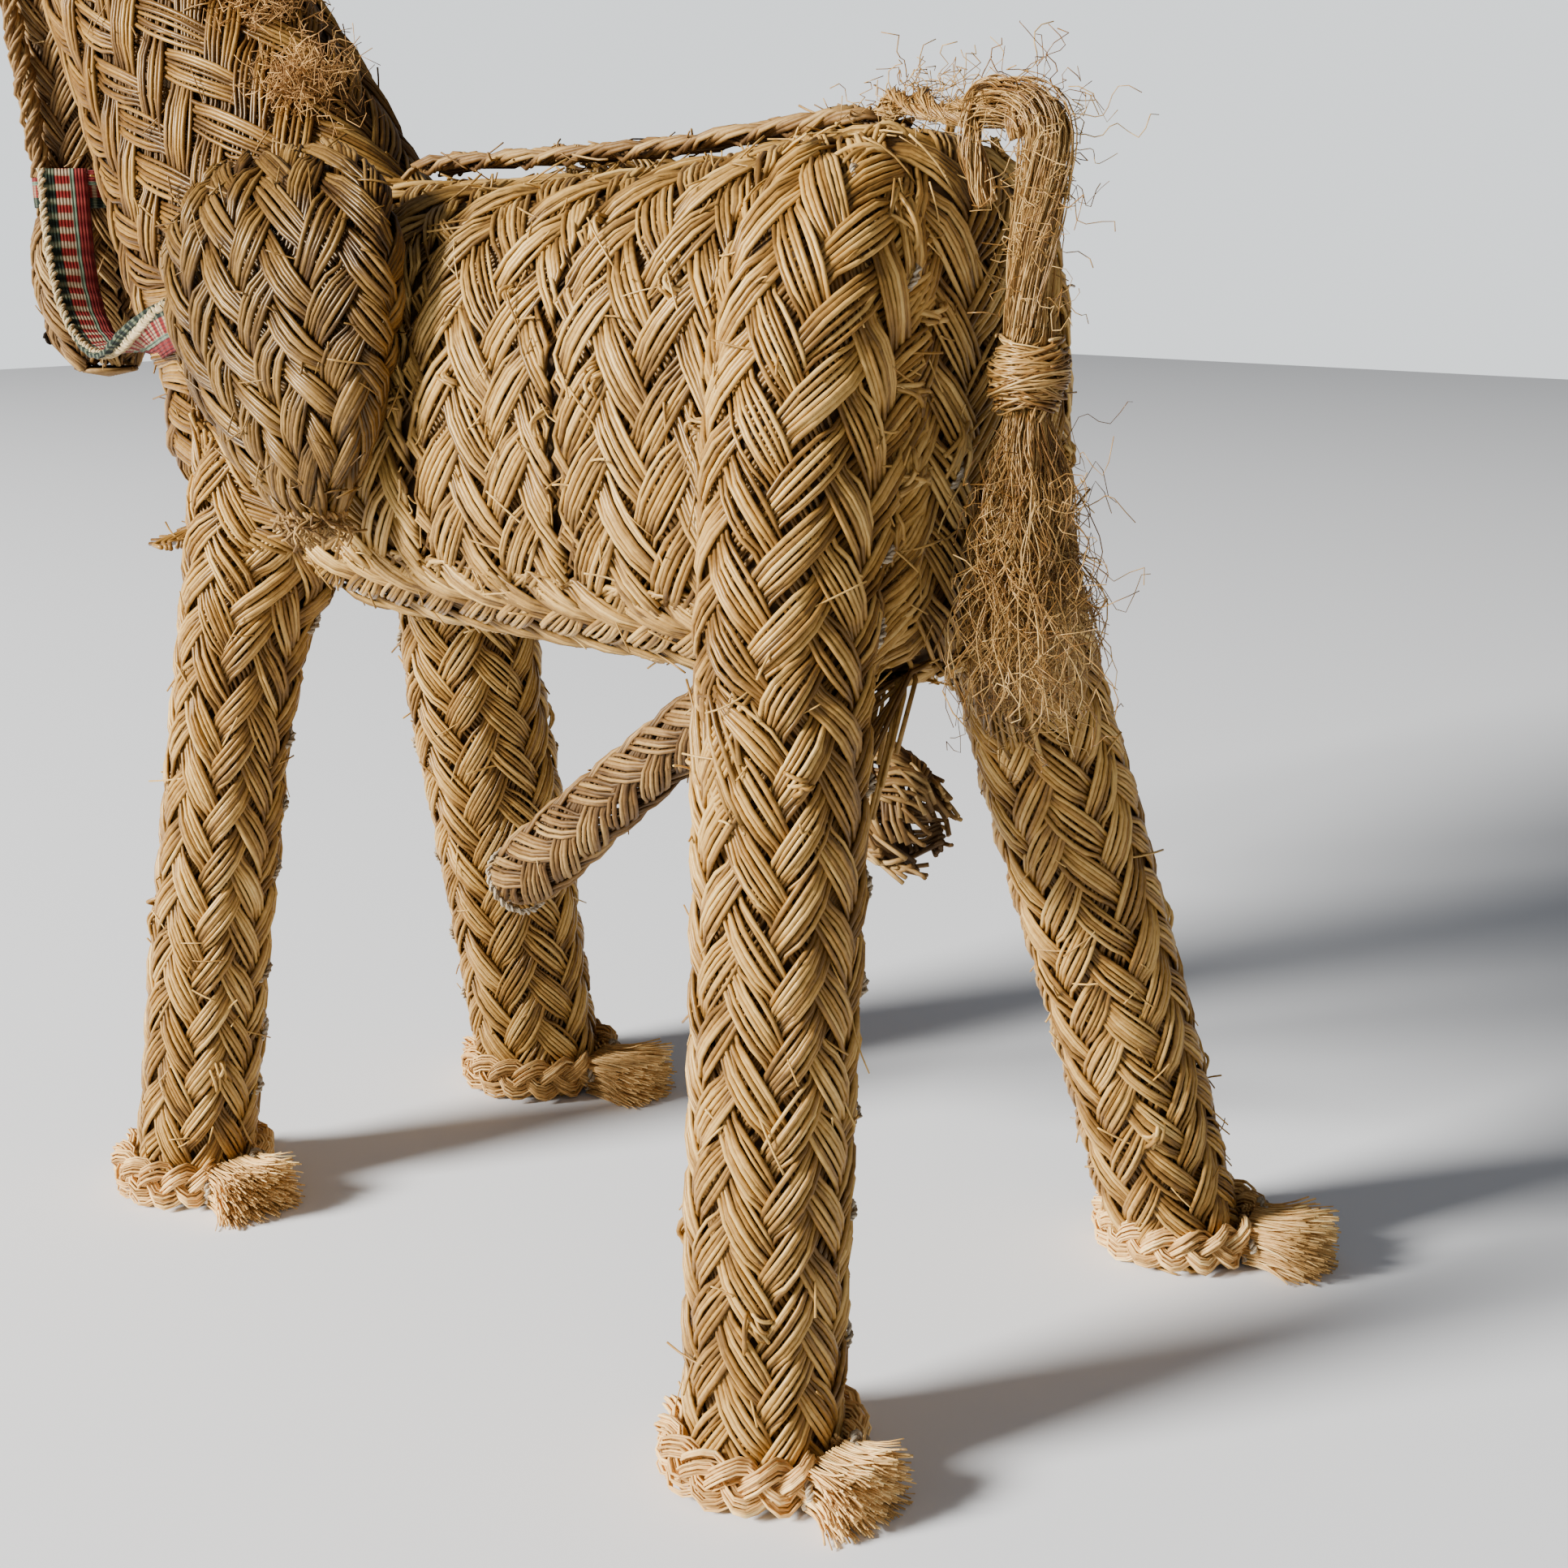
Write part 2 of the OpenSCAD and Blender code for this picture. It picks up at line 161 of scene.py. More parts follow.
def tube_form(tree, axis, start, turns=60, reach=0.06, limit=None, spare=0.018, fine=0.004):
    """The surface round a bent axis, felt for from outside it. start is the side its edges meet on."""
    axis = [Vector(p) for p in axis]
    dense = []
    for a, b in zip(axis, axis[1:]):
        n = max(1, round((b - a).length / fine))
        dense += [a.lerp(b, k / n) for k in range(n)]
    dense.append(axis[-1])
    for _ in range(3):
        dense = [dense[0]] + [(dense[k - 1] + dense[k] * 2 + dense[k + 1]) / 4
                              for k in range(1, len(dense) - 1)] + [dense[-1]]
    rows = []
    for k, p in enumerate(dense):
        t = (dense[min(k + 2, len(dense) - 1)] - dense[max(k - 2, 0)]).normalized()
        e1 = (start - t * start.dot(t)).normalized()
        e2 = t.cross(e1)
        ways = [e1 * math.cos(2 * math.pi * q / turns) + e2 * math.sin(2 * math.pi * q / turns)
                for q in range(turns)]
        radii = []
        for d in ways:
            hit = tree.ray_cast(p + d * reach, -d, reach)
            far = reach - hit[3] if hit[0] is not None else None
            if far is not None and limit and far > limit:
                far = limit
            radii.append(far)
        known = [f for f in radii if f is not None]
        fill = min(float(np.median(known)), spare) if known else spare
        radii = [fill if f is None else f for f in radii]
        row = [tuple(p + ways[q % turns] * radii[q % turns]) for q in range(turns + 1)]
        rows.append(even(row))
    return Form(rows, closed=True)


def hoop_form(tree, middle, ys, angles, reach=0.1, spare=0.05, swap=False):
    """The surface round a level fore-and-aft line, over the angles given. Rows go round it and
    columns along it, or the other way about with swap."""
    rows = []
    for a in angles:
        d = ACROSS * math.cos(a) + UP * math.sin(a)
        row, last = [], spare
        for y in ys:
            p = Vector((middle.x, y, middle.z))
            hit = tree.ray_cast(p + d * reach, -d, reach)
            last = reach - hit[3] if hit[0] is not None else last
            row.append(tuple(p + d * last))
        rows.append(row)
    g = np.array(rows)
    if swap:
        g = g.transpose(1, 0, 2)[:, ::-1]
    return Form(g)


# ---------------------------------------------------------------- stems and plaits
def stems(name, lines, radius, deep=None, sides=1, mat=None, body="animal", node=(), part=None):
    """Many round stems as one mesh piece: lines are arrays of points, radius one number or one each,
    and deep how far down in the plait each point is, from 0 to 1."""
    cu = bpy.data.curves.new(name, "CURVE")
    cu.dimensions = "3D"
    cu.bevel_depth = 1.0
    cu.bevel_resolution = sides
    cu.use_fill_caps = True
    cu.resolution_u = 1
    for k, line in enumerate(lines):
        sp = cu.splines.new("POLY")
        sp.points.add(len(line) - 1)
        flat = np.ones((len(line), 4), np.float32)
        flat[:, :3] = line
        r = radius[k] if hasattr(radius, "__len__") else radius
        # nothing goes through the floor
        flat[:, 2] = np.maximum(flat[:, 2], np.max(r))
        sp.points.foreach_set("co", flat.ravel())
        full = np.full(len(line), 1.0, np.float32) * r
        sp.points.foreach_set("radius", full.astype(np.float32))
        sp.use_smooth = True
    ob = bpy.data.objects.new(name, cu)
    bpy.context.scene.collection.objects.link(ob)
    mesh = bpy.data.meshes.new_from_object(ob)
    bpy.data.objects.remove(ob)
    piece = bpy.data.objects.new(name, mesh)
    bpy.context.scene.collection.objects.link(piece)
    mesh.materials.clear()
    mesh.materials.append(mat)
    deep = deep or [np.zeros(len(line)) for line in lines]
    # the mesh holds the end caps first, last stem to first, and then the stems in order
    low = np.concatenate([[d[-1], d[0]] for d in reversed(deep)] + list(deep))
    # how deep each point lies in the plait, which the finish turns into painted shade
    depth_shade = mesh.attributes.new("deep", "FLOAT", "POINT")
    depth_shade.data.foreach_set("value", np.repeat(low, len(mesh.vertices) // len(low)).astype(np.float32))
    bm = bmesh.new()
    bm.from_mesh(mesh)
    bmesh.ops.remove_doubles(bm, verts=bm.verts, dist=1e-7)
    bm.to_mesh(mesh)
    bm.free()
    if body:
        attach(piece, body)
    if node:
        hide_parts(*([node] if isinstance(node, str) else node))
    return piece


def plait_lines(form, columns, pitch=14 * MM, count=7, lift=1.15 * MM, sink=1.35 * MM, seed=1,
                lo=0.0, hi=None, stem=0.53 * MM, ragged=0.3):
    """Stem lines of a flat plait laid on a form. Each bundle crosses the plait one way and then the
    other, over two bundles and under two, and turns back at the edges."""
    rng = np.random.default_rng(seed)
    hi = form.length if hi is None else hi
    first, last = lo / pitch, hi / pitch
    lines, radii, deep = [], [], []
    for k in range(int(round(2 * columns))):
        wander, n = rng.normal(0, 0.04), max(3, count + rng.choice([-1, 0, 0, 0, 1]))
        for s in range(n):
            side = (s - (n - 1) / 2) / n * 0.96 + rng.normal(0, 0.012)
            start, stop = first + rng.uniform(0, ragged), last - rng.uniform(0, ragged)
            x = np.arange(math.floor((start - k) * 4), math.ceil((stop - k) * 4)) / 4 - side / 2
            turned = np.mod(x, 2 * columns)
            going = turned <= columns
            place = np.where(going, turned, 2 * columns - turned)
            mark = place + np.where(going, side, -side) / 2 - 0.25
            f = mark - np.floor(mark + 1e-6)
            top = (np.floor(mark + 1e-6) % 2 == 0) == going
            near = np.round(f * 4) % 4
            ok = top | (near % 2 == 0)
            x, place, f, top = x[ok], place[ok], f[ok], top[ok]
            if len(x) < 3:
                continue
            arch = np.sin(np.pi * np.clip(f, 0, 1)) ** 0.6
            over = np.where(top, 1.0, -1.0)
            h = lift * over * arch - sink + rng.normal(0, 0.17 * MM)
            h = h + (0.55 * MM * (1 - (2 * side) ** 2) - 0.15 * MM) * arch * (over > 0)
            h = h + (-1) ** s * 0.22 * MM * (1 - arch)
            bow = rng.normal(0, 0.04) + 0.05 * np.sin(x * 0.9 + rng.uniform(0, 6))
            v = (x + k + wander + side * (0.8 + 0.2 * arch) + bow * arch * 0.6) * pitch
            lines.append(form.lay(place / columns, v, h))
            radii.append(rng.normal(1.0, 0.1) * stem * (count / n) ** 0.4)
            deep.append(np.clip(0.5 - 0.5 * over * arch + rng.normal(0, 0.06), 0, 1))
    return lines, radii, deep


def plaited(name, form, columns, mat, node=(), part=None, extra=None, **how):
    """One plaited cover as a piece, with any extra stems added to it."""
    lines, radii, deep = plait_lines(form, columns, **how)
    for more in extra or ():
        lines, radii = lines + more[0], radii + more[1]
        deep = deep + [np.zeros(len(line)) for line in more[0]]
    return stems(name, lines, radii, deep, mat=mat, node=node, part=part)


def strays(form, many, seed, lo=0.0, hi=None, long=9 * MM, stem=0.22 * MM, side=(0, 1)):
    """Thin loose ends that stick out of a plait."""
    rng = np.random.default_rng(seed)
    hi = form.length if hi is None else hi
    lines, radii = [], []
    for _ in range(many):
        u, v = rng.uniform(*side), rng.uniform(lo, hi)
        run, turn = rng.uniform(0.4, 1.4) * long, rng.uniform(0, 2 * math.pi)
        t = np.linspace(0, 1, 5)
        girth = float(np.interp(v, form.rise, form.girth))
        du = math.cos(turn) * run * t / girth
        dv = math.sin(turn) * run * t + rng.normal(0, 1.2 * MM) * t ** 2
        lift = -1 * MM + (0.5 + rng.uniform(0.2, 1.0) * run / long * 3) * MM * t ** rng.uniform(0.8, 2)
        lines.append(form.lay(u + du, v + dv, lift + 0.8 * MM * t))
        radii.append(stem * rng.uniform(0.7, 1.3))
    return lines, radii


def tucks(form, places, seed, stem=0.5 * MM, size=5 * MM):
    """Cut ends of bundles, bent over and pushed back under the plait at the places given."""
    rng = np.random.default_rng(seed)
    lines, radii = [], []
    for u, v in places:
        turn, reach = rng.uniform(0, 2 * math.pi), rng.uniform(0.8, 1.5) * size
        girth = float(np.interp(v, form.rise, form.girth))
        for _ in range(rng.integers(4, 8)):
            own, off = turn + rng.normal(0, 0.35), rng.normal(0, 0.9 * MM, 2)
            t = np.linspace(0, 1, 8)
            run = reach * rng.uniform(0.7, 1.2) * (t - 0.3)
            du, dv = math.cos(own) * run + off[0], math.sin(own) * run + off[1]
            dv = dv + rng.normal(0, 1.5 * MM) * t ** 2
            high = np.sin(math.pi * t ** rng.uniform(0.7, 1.2)) * rng.uniform(1.2, 2.6) * MM
            lines.append(form.lay(u + du / girth, v + dv, high - 0.9 * MM + 0.8 * MM * t))
            radii.append(stem * rng.uniform(0.75, 1.15))
    return lines, radii


def curly(start, way, long, rng, curl, n, droop=0.0):
    """One wavy hair from a point."""
    t = np.linspace(0, 1, n)
    way = np.array(way, float)
    way /= np.linalg.norm(way)
    a = np.cross(way, rng.normal(0, 1, 3))
    a /= max(np.linalg.norm(a), 1e-9)
    b = np.cross(way, a)
    f1, f2 = rng.uniform(3, 8, 2)
    p1, p2 = rng.uniform(0, 6.28, 2)
    w = curl * t ** 0.8
    wob_a = w * (np.sin(f1 * t * 2.2 + p1) - math.sin(p1))
    wob_b = w * (np.sin(f2 * t * 2.2 + p2) - math.sin(p2))
    pts = (np.array(start)[None] + way[None] * (long * t)[:, None] + a[None] * wob_a[:, None]
           + b[None] * wob_b[:, None])
    pts[:, 2] -= droop * t ** 2
    return pts


def twist_lines(path, ply, each, wide, lay_length, fibre, seed, up=UP, squash=1.0, phase=0.0):
    """A twisted cord: ply strands of each stems wound round a path."""
    rng = np.random.default_rng(seed)
    path = np.array([tuple(p) for p in path], float)
    d = np.concatenate([[0], np.cumsum(np.linalg.norm(np.diff(path, axis=0), axis=1))])
    n = max(6, int(d[-1] / (lay_length / 9)))
    t = np.linspace(0, d[-1], n)
    mid = np.stack([np.interp(t, d, path[:, k]) for k in range(3)], 1)
    way = np.gradient(mid, axis=0)
    way /= np.linalg.norm(way, axis=1, keepdims=True)
    a = np.cross(way, np.array(up))
    a /= np.maximum(np.linalg.norm(a, axis=1, keepdims=True), 1e-9)
    b = np.cross(way, a)
    lines, radii = [], []
    for s in range(ply):
        turn = 2 * math.pi * (t / lay_length + s / ply) + phase
        for _ in range(each):
            spin, out = rng.uniform(0, 2 * math.pi), math.sqrt(rng.uniform(0, 1)) * wide * 0.5
            own = turn * 1.6 + spin
            ra = np.cos(turn) * wide * 0.5 + np.cos(own) * out
            rb = np.sin(turn) * wide * 0.5 + np.sin(own) * out
            lines.append(mid + a * ra[:, None] + b * rb[:, None] * squash)
            radii.append(fibre * rng.uniform(0.85, 1.15))
    return lines, radii


# ---------------------------------------------------------------- finishes
def shader(name):
    mat = bpy.data.materials.new(name)
    mat.use_nodes = True
    nt = mat.node_tree
    return mat, nt, nt.nodes["Principled BSDF"]


def ramp(nt, stops):
    node = nt.nodes.new("ShaderNodeValToRGB")
    cr = node.color_ramp
    while len(cr.elements) < len(stops):
        cr.elements.new(0.5)
    for el, (pos, col) in zip(cr.elements, stops):
        el.position = pos
        el.color = (*col, 1)
    return node


def sums(nt, op, a, b, c=None):
    """A Math node fed with sockets or numbers."""
    node = nt.nodes.new("ShaderNodeMath")
    node.operation = op
    for k, v in enumerate((a, b, c)):
        if v is None:
            continue
        if isinstance(v, (int, float)):
            node.inputs[k].default_value = v
        else:
            nt.links.new(v, node.inputs[k])
    return node.outputs[0]


def noise(nt, scale, detail=3, rough=0.55):
    node = nt.nodes.new("ShaderNodeTexNoise")
    node.inputs["Scale"].default_value = scale
    node.inputs["Detail"].default_value = detail
    node.inputs["Roughness"].default_value = rough
    nt.links.new(nt.nodes["Texture Coordinate"].outputs["Object"], node.inputs["Vector"])
    return node.outputs["Fac"]


def grass(name, stops, rough=0.36, own=0.6, gloss=0.42, bump=0.25, scale=1.0):
    """Dry stems: each its own shade, with scuffs and short streaks across the whole piece, and painted
    shade where a stem lies deep in the plait.
    """
    mat, nt, b = shader(name)
    tc = nt.nodes.new("ShaderNodeTexCoord")
    tc.name = "Texture Coordinate"
    geo = nt.nodes.new("ShaderNodeNewGeometry")
    patch, fine = noise(nt, 45 * scale, 4), noise(nt, 700 * scale, 2)
    tone = sums(nt, "MULTIPLY_ADD", geo.outputs["Random Per Island"], own, 0.5 - own / 2)
    tone = sums(nt, "ADD", tone, sums(nt, "MULTIPLY_ADD", patch, 0.9, -0.45))
    tone = sums(nt, "ADD", tone, sums(nt, "MULTIPLY_ADD", fine, 0.5, -0.25))
    # painted shade: points that lie deep in the plait, under other stems, are darkened
    depth_shade = nt.nodes.new("ShaderNodeAttribute")
    depth_shade.attribute_name = "deep"
    tone = sums(nt, "SUBTRACT", tone, sums(nt, "MULTIPLY", depth_shade.outputs["Fac"], 0.75))
    col = ramp(nt, stops)
    nt.links.new(tone, col.inputs["Fac"])
    nt.links.new(col.outputs["Color"], b.inputs["Base Color"])
    b.inputs["Roughness"].default_value = rough
    b.inputs["Specular IOR Level"].default_value = gloss
    b.inputs["Specular Tint"].default_value = (1, 0.84, 0.58, 1)
    if bump:
        bm = nt.nodes.new("ShaderNodeBump")
        bm.inputs["Strength"].default_value = bump
        bm.inputs["Distance"].default_value = 0.0002
        nt.links.new(fine, bm.inputs["Height"])
        nt.links.new(bm.outputs["Normal"], b.inputs["Normal"])
    return mat


def shades(dark, low, mid, high, pale):
    return [(0.0, dark), (0.28, low), (0.5, mid), (0.72, high), (1.0, pale)]


LEG = grass("leg_stems", shades((0.127, 0.059, 0.012), (0.284, 0.144, 0.032), (0.421, 0.239, 0.061),
                                (0.549, 0.333, 0.099), (0.686, 0.468, 0.166)))
TRUNK = grass("body_stems", shades((0.11, 0.052, 0.012), (0.26, 0.138, 0.033), (0.4, 0.228, 0.061),
                                   (0.53, 0.328, 0.101), (0.68, 0.465, 0.173)))
NECK = grass("neck_stems", shades((0.064, 0.027, 0.005), (0.154, 0.071, 0.014), (0.237, 0.12, 0.025),
                                  (0.32, 0.175, 0.042), (0.41, 0.245, 0.068)))
BROWN = grass("brown_stems", shades((0.062, 0.028, 0.008), (0.15, 0.074, 0.021), (0.246, 0.135, 0.042),
                                    (0.352, 0.213, 0.072), (0.484, 0.322, 0.129)), rough=0.55)
# the pad's own straw colours, darkened throughout as painted shade for the pad's face lying in less light
PAD = grass("pad_stems", shades((0.036, 0.015, 0.003), (0.101, 0.049, 0.01), (0.166, 0.087, 0.02),
                                (0.238, 0.132, 0.035), (0.346, 0.211, 0.067)))
HOOF = grass("hoof_fibres", shades((0.25, 0.116, 0.029), (0.525, 0.293, 0.092), (0.75, 0.451, 0.157),
                                   (0.925, 0.61, 0.248), (0.95, 0.83, 0.41)), rough=0.5, own=0.5)
COIR = grass("coir_hair", shades((0.119, 0.051, 0.015), (0.272, 0.128, 0.036), (0.442, 0.23, 0.068),
                                 (0.646, 0.365, 0.12), (0.85, 0.544, 0.21)), rough=0.6, own=0.6, bump=0)
GOLD = grass("golden_fibre", shades((0.096, 0.036, 0.007), (0.2, 0.092, 0.021), (0.311, 0.165, 0.044),
                                    (0.429, 0.251, 0.078), (0.592, 0.396, 0.156)), rough=0.32, own=0.75,
             gloss=0.6, bump=0)
# the cores' filling, coloured near black as painted shade seen through the gaps in the plaits
SHADE_FILLING = grass("straw_filling", shades((0.01, 0.005, 0.002), (0.025, 0.012, 0.004),
                                        (0.045, 0.022, 0.008), (0.075, 0.04, 0.014),
                                        (0.12, 0.07, 0.026)), rough=0.85, own=0.0, bump=0.6, scale=0.8)
THREAD = grass("white_thread", shades((0.15, 0.1, 0.055), (0.26, 0.195, 0.12), (0.38, 0.3, 0.2),
                                      (0.5, 0.42, 0.3), (0.64, 0.57, 0.45)), rough=0.8, gloss=0.2)
WOOL = grass("dark_wool", shades((0.004, 0.003, 0.003), (0.01, 0.007, 0.006), (0.02, 0.014, 0.011),
                                 (0.035, 0.025, 0.02), (0.06, 0.045, 0.035)), rough=0.9, gloss=0.2)
CREAM = grass("cream_wool", shades((0.281, 0.204, 0.1), (0.39, 0.292, 0.15), (0.484, 0.374, 0.205),
                                   (0.546, 0.435, 0.25), (0.624, 0.51, 0.31)), rough=0.85, gloss=0.2)


def striped(name, along, wide):
    """Woven wool tape: a dark edge, red bars, a pale green line, then plain dark red."""
    mat, nt, b = shader(name)
    tc = nt.nodes.new("ShaderNodeTexCoord")
    tc.name = "Texture Coordinate"
    uv = nt.nodes.new("ShaderNodeSeparateXYZ")
    nt.links.new(tc.outputs["UV"], uv.inputs[0])
    x = sums(nt, "MULTIPLY", uv.outputs["X"], wide * 1000)
    y = sums(nt, "MULTIPLY", uv.outputs["Y"], along * 1000)
    wobble = sums(nt, "MULTIPLY_ADD", noise(nt, 500, 2), 1.0, -0.5)
    bar = sums(nt, "SINE", sums(nt, "ADD", sums(nt, "MULTIPLY", y, 2 * math.pi / 3.9), wobble), 0)
    swing = sums(nt, "MULTIPLY_ADD", bar, 0.5, 0.5)

    def zone(stops):
        r = ramp(nt, stops)
        nt.links.new(swing, r.inputs["Fac"])
        return r.outputs["Color"]

    def over(test, under, colour):
        m = nt.nodes.new("ShaderNodeMix")
        m.data_type = "RGBA"
        nt.links.new(test, m.inputs["Factor"])
        nt.links.new(under, m.inputs["A"])
        nt.links.new(colour, m.inputs["B"])
        return m.outputs["Result"]

    bars = zone([(0.0, (0.144, 0.0084, 0.0072)), (0.45, (0.168, 0.0144, 0.0108)),
                 (0.6, (0.24, 0.15, 0.084)), (1.0, (0.3, 0.222, 0.138))])
    dark = zone([(0.0, (0.0048, 0.0084, 0.006)), (0.55, (0.012, 0.021, 0.012)),
                 (0.72, (0.048, 0.066, 0.036)), (1.0, (0.102, 0.108, 0.066))])
    plain = zone([(0.0, (0.102, 0.0054, 0.006)), (1.0, (0.168, 0.021, 0.0168))])
    green = zone([(0.0, (0.078, 0.114, 0.072)), (1.0, (0.144, 0.18, 0.12))])
    scale = wide * 80
    body = over(sums(nt, "LESS_THAN", x, 3.4 * scale), bars, dark)
    body = over(sums(nt, "GREATER_THAN", x, 8.1 * scale), body, plain)
    off = sums(nt, "ABSOLUTE", sums(nt, "SUBTRACT", x, 8.1 * scale), 0)
    body = over(sums(nt, "LESS_THAN", off, 0.6 * scale), body, green)
    nt.links.new(body, b.inputs["Base Color"])
    b.inputs["Roughness"].default_value = 0.85
    b.inputs["Specular IOR Level"].default_value = 0.1
    b.inputs["Sheen Weight"].default_value = 0.05
    b.inputs["Sheen Roughness"].default_value = 0.5
    cords = sums(nt, "ABSOLUTE", sums(nt, "SINE", sums(nt, "MULTIPLY", x, math.pi / 0.9), 0), 0)
    bm = nt.nodes.new("ShaderNodeBump")
    bm.inputs["Strength"].default_value = 0.7
    bm.inputs["Distance"].default_value = 0.0004
    nt.links.new(sums(nt, "ADD", cords, sums(nt, "MULTIPLY", bar, 0.4)), bm.inputs["Height"])
    nt.links.new(bm.outputs["Normal"], b.inputs["Normal"])
    return mat


# ---------------------------------------------------------------- the filling, painted near black as the shade between the stems
for core in ("barrel_core", "neck_core", "head_core", "left_hind_core", "right_hind_core",
             "left_front_core", "right_front_core"):
    me = frame["nodes"][core].data
    me.materials.clear()
    me.materials.append(SHADE_FILLING)

COVERS = ("left_hind_plait", "right_hind_plait", "left_front_plait", "right_front_plait",
          "rump_plait", "girth_plait_1", "girth_plait_2", "girth_plait_3", "belly_plait",
          "neck_plait")
BOX = {n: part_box(n) for n in list(COVERS) + ["head_plait", "spine_plait", "sheath_plait",
                                             "pouch_plait", "left_ear", "right_ear",
                                             "left_shoulder_pad", "right_shoulder_pad"]}
SPINE_X = (BOX["spine_plait"][0].x + BOX["spine_plait"][1].x) / 2
MIDDLE = Vector((SPINE_X + 2 * MM, 0, 207 * MM))
SEAM_Y = [BOX["girth_plait_1"][0].y, BOX["girth_plait_2"][0].y, BOX["girth_plait_3"][0].y,
          BOX["girth_plait_3"][1].y]
BODY = skin_tree(*COVERS)

# each leg's middle line above its sole, in millimetres, and the side its plait's edges meet on
LEGS = {
    "left_hind": ([(0, 0, 0), (-2.5, -.5, 60), (-6, -1, 120), (-8, -2, 150), (-12, -4, 180),
                   (-17, -6, 210), (-23, -8, 232), (-32, -9, 248), (-44, -10, 256)],
                  Vector((-0.67, 0.74, 0))),
    "right_hind": ([(0, 0, 0), (19, -6, 60), (39.5, -12, 120), (50, -14.5, 150), (58.5, -17.5, 180),
                    (62, -19, 215), (66, -20, 236), (73, -20.5, 249), (84, -20.5, 257)],
                   Vector((-0.8, -0.6, 0))),
    "left_front": ([(0, 0, 0), (-5, 5.5, 60), (-11, 12.5, 120), (-15, 17, 150), (-18, 19, 180),
                    (-20, 22, 203)], Vector((-0.67, 0.74, 0))),
    "right_front": ([(0, 0, 0), (7.5, -2, 60), (15, -6, 120), (18, -6, 150), (20, -2, 180),
                     (21, 4, 203)], Vector((0.67, -0.74, 0))),
}


def make_leg(name, seed):
    offsets, seam = LEGS[name]
    path = [FEET[name] + Vector(p) * MM for p in offsets]
    hind = name.endswith("hind")
    form = tube_form(skin_tree(name + "_plait"), path, seam.normalized(), limit=0.0285 if hind else 0.024)
    rng = np.random.default_rng(seed)
    spots = [(rng.uniform(0.02, 0.98), rng.uniform(0.05, 0.9) * form.length)
             for _ in range(7 if hind else 4)]
    loose = [strays(form, 110 if hind else 70, seed + 50), tucks(form, spots, seed + 60)]
    plaited(name + "_weave", form, 11, LEG, name + "_plait", "leg_plait", loose, seed=seed)
    return form


LEG_FORMS = {n: make_leg(n, 3 + 7 * k) for k, n in enumerate(LEGS)}


# ---------------------------------------------------------------- the trunk
def make_trunk():
    """Three plaits sewn side by side round the barrel, one under the belly and one over the rump."""
    round_it = [math.radians(a) for a in np.linspace(-41, 221, 120)]
    for k in range(3):
        ys = np.linspace(SEAM_Y[k] + 0.3 * MM, SEAM_Y[k + 1] - 0.3 * MM, 26)
        form = hoop_form(skin_tree("girth_plait_1", "girth_plait_2", "girth_plait_3", "belly_plait",
                                   "left_hind_plait", "right_hind_plait"),
                         MIDDLE, ys if k < 2 else np.linspace(SEAM_Y[2], SEAM_Y[3] + 2 * MM, 26),
                         round_it)
        plaited("girth_weave_%d" % (k + 1), form, 4, TRUNK, "girth_plait_%d" % (k + 1), "body_plait",
                [strays(form, 90, 90 + k), tucks(form, [(u, q * form.length) for u, q in
                 ((0.3, 0.2), (0.7, 0.27), (0.95, 0.17), (0.1, 0.33))], 190 + k, stem=0.42 * MM,
                 size=4 * MM)], seed=31 + k, pitch=16 * MM)
    low = [math.radians(a) for a in np.linspace(-146, -34, 60)]
    ys = np.linspace(SEAM_Y[0] - 6 * MM, SEAM_Y[3] + 27 * MM, 80)
    form = hoop_form(BODY, MIDDLE, ys, low, swap=True)
    plaited("belly_weave", form, 11, TRUNK, "belly_plait", "body_plait", [strays(form, 120, 95)],
            seed=41)
    # over the rump and down between the haunches
    rows = []
    for a in np.linspace(math.radians(112), math.radians(-62), 76):
        d = AFT * math.cos(a) + UP * math.sin(a)
        row, last = [], 0.04
        for x in np.linspace(SPINE_X - 37 * MM, SPINE_X + 39 * MM, 30):
            p = Vector((x, SEAM_Y[3] - 4 * MM, 0.212))
            hit = BODY.ray_cast(p + d * 0.09, -d, 0.09)
            last = 0.09 - hit[3] if hit[0] is not None else last
            row.append(tuple(p + d * last))
        rows.append(row)
    g = np.array(rows)
    form = Form(g, soften=3)
    # the haunch plaits stand over its edges
    inner = 3.4 * MM * np.clip(np.abs(np.linspace(-1, 1, 30)) * 2.2 - 1.2, 0, 1)
    form.g = form.g - form.out * inner[None, :, None]
    form = Form(form.g, soften=0)
    spots = [(0.78, 0.28), (0.8, 0.4), (0.74, 0.5), (0.83, 0.58), (0.7, 0.25), (0.8, 0.7), (0.6, 0.65)]
    plaited("rump_weave", form, 6, TRUNK, "rump_plait", "body_plait",
            [strays(form, 120, 97), tucks(form, [(u, q * form.length) for u, q in spots], 98,
                                          size=8 * MM)], seed=43, sink=1.6 * MM, pitch=15 * MM)
    return form


RUMP = make_trunk()


def make_neck():
    path = [here(0, y, z) for y, z in ((-106, 170), (-107, 190), (-110, 207), (-121, 232),
            (-134, 260), (-149.5, 285), (-166, 307), (-187, 340), (-200, 365), (-206.5, 380),
            (-208, 386))]
    form = tube_form(skin_tree("neck_plait", "left_front_plait", "right_front_plait",
                               "girth_plait_1"), path, Vector((-0.5, -0.86, 0)), reach=0.09,
                     spare=0.05, turns=90)
    plaited("neck_weave", form, 20, NECK, "neck_plait", "neck_plait", [strays(form, 220, 99)], seed=51,
            pitch=16 * MM, stem=0.56 * MM)
    return form


make_neck()


